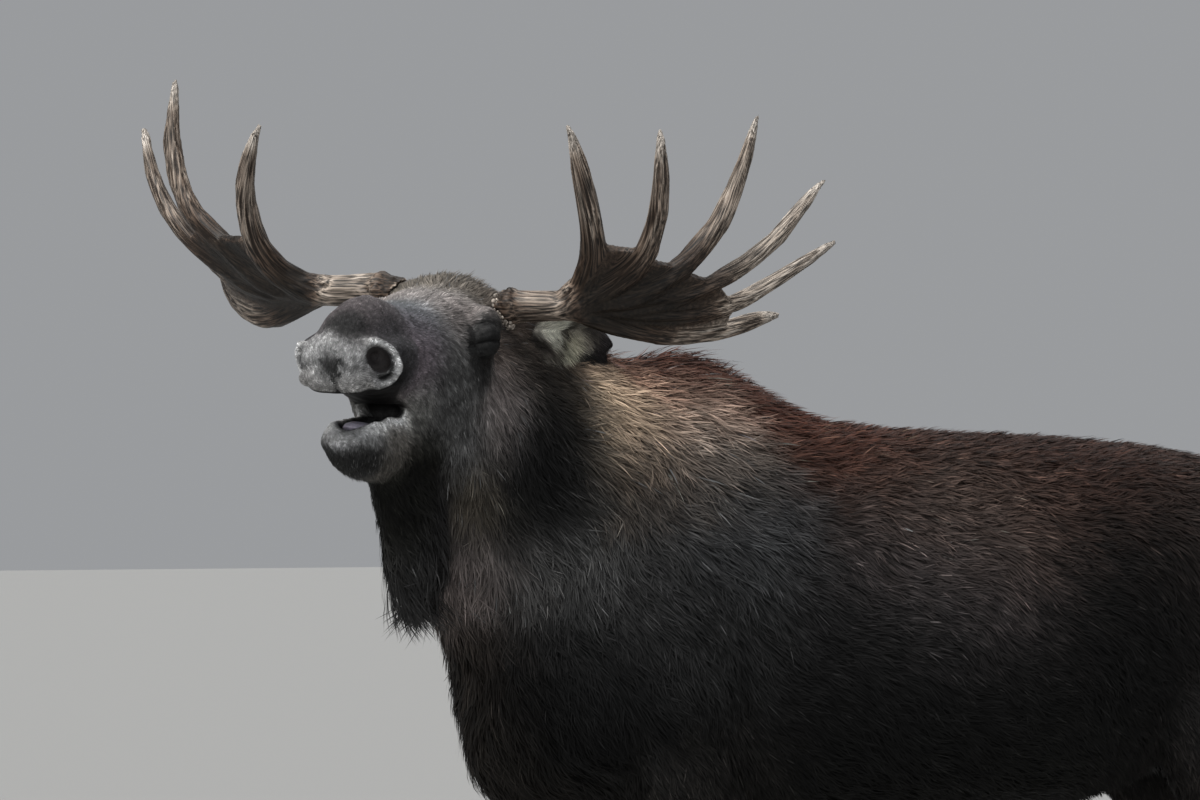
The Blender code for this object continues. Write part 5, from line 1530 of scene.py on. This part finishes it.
# %% [markdown]
# ## Eyes, tongue, hooves and dewclaws
# The eyes shine in their slits. The tongue is a moist lilac grey with a fine nap, and it lies
# down in its bed. Hooves and dewclaws are dark horn with growth rings, and the hooves narrow to
# their upper edge. Modelling all of these anew would bring little, so they keep the packed
# shapes, with softer edges and finer materials.
# %% Eyes
def softened(name, voxel, rounds):
    """A copy of a solid without its facets and hard edges, in its place."""
    made = melted(merged_copies([name], name + "_form", lambda node: 0.0), name + "_form", voxel)
    put_points(made.data, relax(points_of(made.data), edges_of(made.data), rounds))
    made.data.shade_smooth()
    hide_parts(name)
    return made


eye_mat, n, l, shader = material("eye", 0.06, (0.012, 0.008, 0.006), Specular_IOR_Level=0.6, Coat_Weight=0.6)
where = n.new("ShaderNodeTexCoord").outputs["Object"]
iris = noise(n, l, where, 60.0, 3.0).outputs["Fac"]
iris = ramp(n, l, iris, (0.3, (0.008, 0.005, 0.004)), (0.7, (0.022, 0.013, 0.009)))
l.new(iris, shader.inputs["Base Color"])
for name in eyes:
    wear(softened(name, 0.0015, 3), eye_mat)
print(len(eyes), "eyes")

# %% Tongue
SINKS = 0.008  # how far the tongue lies down in its bed
tongue_mat, n, l, shader = material("tongue", 0.32, (0.42, 0.38, 0.46), Specular_IOR_Level=0.4,
                                    Subsurface_Weight=0.1)
shader.inputs["Subsurface Radius"].default_value = (0.01, 0.004, 0.004)
where = n.new("ShaderNodeTexCoord").outputs["Object"]
papillae = noise(n, l, where, 500.0, 2.0)
lilac = ramp(n, l, papillae.outputs["Fac"], (0.35, (0.30, 0.27, 0.34)), (0.65, (0.48, 0.44, 0.52)))
l.new(lilac, shader.inputs["Base Color"])
bump_from(n, l, papillae.outputs["Fac"], shader, 0.4, 0.0008)
tongue = softened("tongue", 0.002, 4)
put_points(tongue.data, points_of(tongue.data) + HEAD_TURN[:, 2] * -SINKS)
wear(tongue, tongue_mat)
print("tongue", len(tongue.data.polygons), "faces")

# %% Horn of the feet
horn_mat, n, l, shader = material("hoof horn", 0.42, (0.03, 0.026, 0.023), Specular_IOR_Level=0.4)
where = n.new("ShaderNodeTexCoord").outputs["Object"]
rings = noise(n, l, where, 30.0, 4.0, (0.6, 0.6, 9.0))
horn = ramp(n, l, rings.outputs["Fac"], (0.35, (0.014, 0.012, 0.011)), (0.65, (0.055, 0.046, 0.040)))
l.new(horn, shader.inputs["Base Color"])
bump_from(n, l, rings.outputs["Fac"], shader, 0.5, 0.0018)


def tapered(made, name):
    """The two hooves of a foot narrow together to their upper edge, under the hanging hair."""
    foot = name.rsplit("_", 1)[0]
    corners = np.array([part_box(f"{foot}_{toe}") for toe in ("inner", "outer")], float)
    low, high = corners[:, 0].min(0), corners[:, 1].max(0)
    place_ = points_of(made.data)
    upper = np.interp((high[1] - place_[:, 1]) / (high[1] - low[1]), (0.0, 0.6), (0.055, 0.092))
    share = step((place_[:, 2] - low[2]) / upper, 0.45, 1.05)[:, None]
    middle = np.array(((low[0] + high[0]) / 2, high[1] - 0.055))
    place_[:, :2] += share * (middle - place_[:, :2]) * np.array((0.26, 0.16))
    put_points(made.data, place_)
    return made


horny = [name for name in nodes if name.startswith(("hoof", "dewclaw"))]
for name in horny:
    made = softened(name, 0.0040, 2)
    wear(tapered(made, name) if name.startswith("hoof") else made, horn_mat)
print(len(horny), "pieces of horn")

# %% [markdown]
# ## Floor, light and camera
# The model stands on a plain pale floor, as a museum would show it. One hard lamp would leave the
# dark coat black, so the light is soft and comes from three sides, and the key light is a
# little warm. The camera looks level, from the animal's front left, through a long lens.
# %% Floor
FLOOR = 60.0  # half its width
sheet = bpy.data.meshes.new("floor")
corners = [(x * FLOOR, y * FLOOR, 0) for x, y in ((-1, -1), (1, -1), (1, 1), (-1, 1))]
sheet.from_pydata(corners, [], [(0, 1, 2, 3)])
floor = new_object("floor", sheet)
floor_mat, *_ = material("floor", 0.9, (0.27, 0.27, 0.266), Specular_IOR_Level=0.1)
floor.data.materials.append(floor_mat)
floor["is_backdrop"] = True
print("a floor of", 2 * FLOOR, "m")


# %% Light
def lamp(name, comes_from, softness, power, colour):
    """A far soft box: light from one side of the room, spread over that angle in degrees."""
    light = bpy.data.lights.new(name, "SUN")
    light.angle = math.radians(softness)
    light.energy = power
    light.color = colour
    made = bpy.data.objects.new(name, light)
    bpy.context.scene.collection.objects.link(made)
    made.rotation_mode = "QUATERNION"
    made.rotation_quaternion = Vector(comes_from).to_track_quat("Z", "Y")
    made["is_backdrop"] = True


lamp("key", (0.25, -0.60, 0.95), 38, 3.9, (1.0, 0.99, 0.97))
lamp("fill", (1.0, -0.40, 0.25), 60, 1.25, (0.96, 0.98, 1.0))
lamp("rim", (-0.6, 0.5, 1.0), 50, 0.60, (1.0, 1.0, 1.0))
world = bpy.data.worlds.new("studio")
bpy.context.scene.world = world
world.use_nodes = True
world.node_tree.nodes["Background"].inputs["Color"].default_value = (0.80, 0.82, 0.85, 1)
world.node_tree.nodes["Background"].inputs["Strength"].default_value = 0.40
bpy.context.scene.view_settings.view_transform = "Standard"
print("three lamps and a pale room")

# %% Camera
AZIMUTH = math.radians(67)
DISTANCE = 15
AIM = (0, -0.10, 1.79)  # from the origin of the body frame
lens = bpy.data.cameras.new("camera")
lens.sensor_width = 36
lens.lens = 221.4
lens.clip_end = 200
camera = bpy.data.objects.new("camera", lens)
bpy.context.scene.collection.objects.link(camera)
back = Vector((math.sin(AZIMUTH), -math.cos(AZIMUTH), 0))
camera.location = Vector(FEET) + Vector(AIM) + back * DISTANCE
camera.rotation_mode = "QUATERNION"
camera.rotation_quaternion = back.to_track_quat("Z", "Y")
bpy.context.scene.camera = camera
print("camera at", [round(value, 2) for value in camera.location])

# %% [markdown]
# ## Sizes
# A model that grows past its solids would no longer fit where they fit. Cutting it to their box
# would leave flat places, so it was made to end inside them, and both boxes are compared here.
# %% Compare the sizes and finish
size_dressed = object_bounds()
for axis, a, b, c, d in zip("xyz", *size_of_solids, *size_dressed):
    print(axis, "solids", round(a, 3), round(b, 3), "dressed", round(c, 3), round(d, 3))
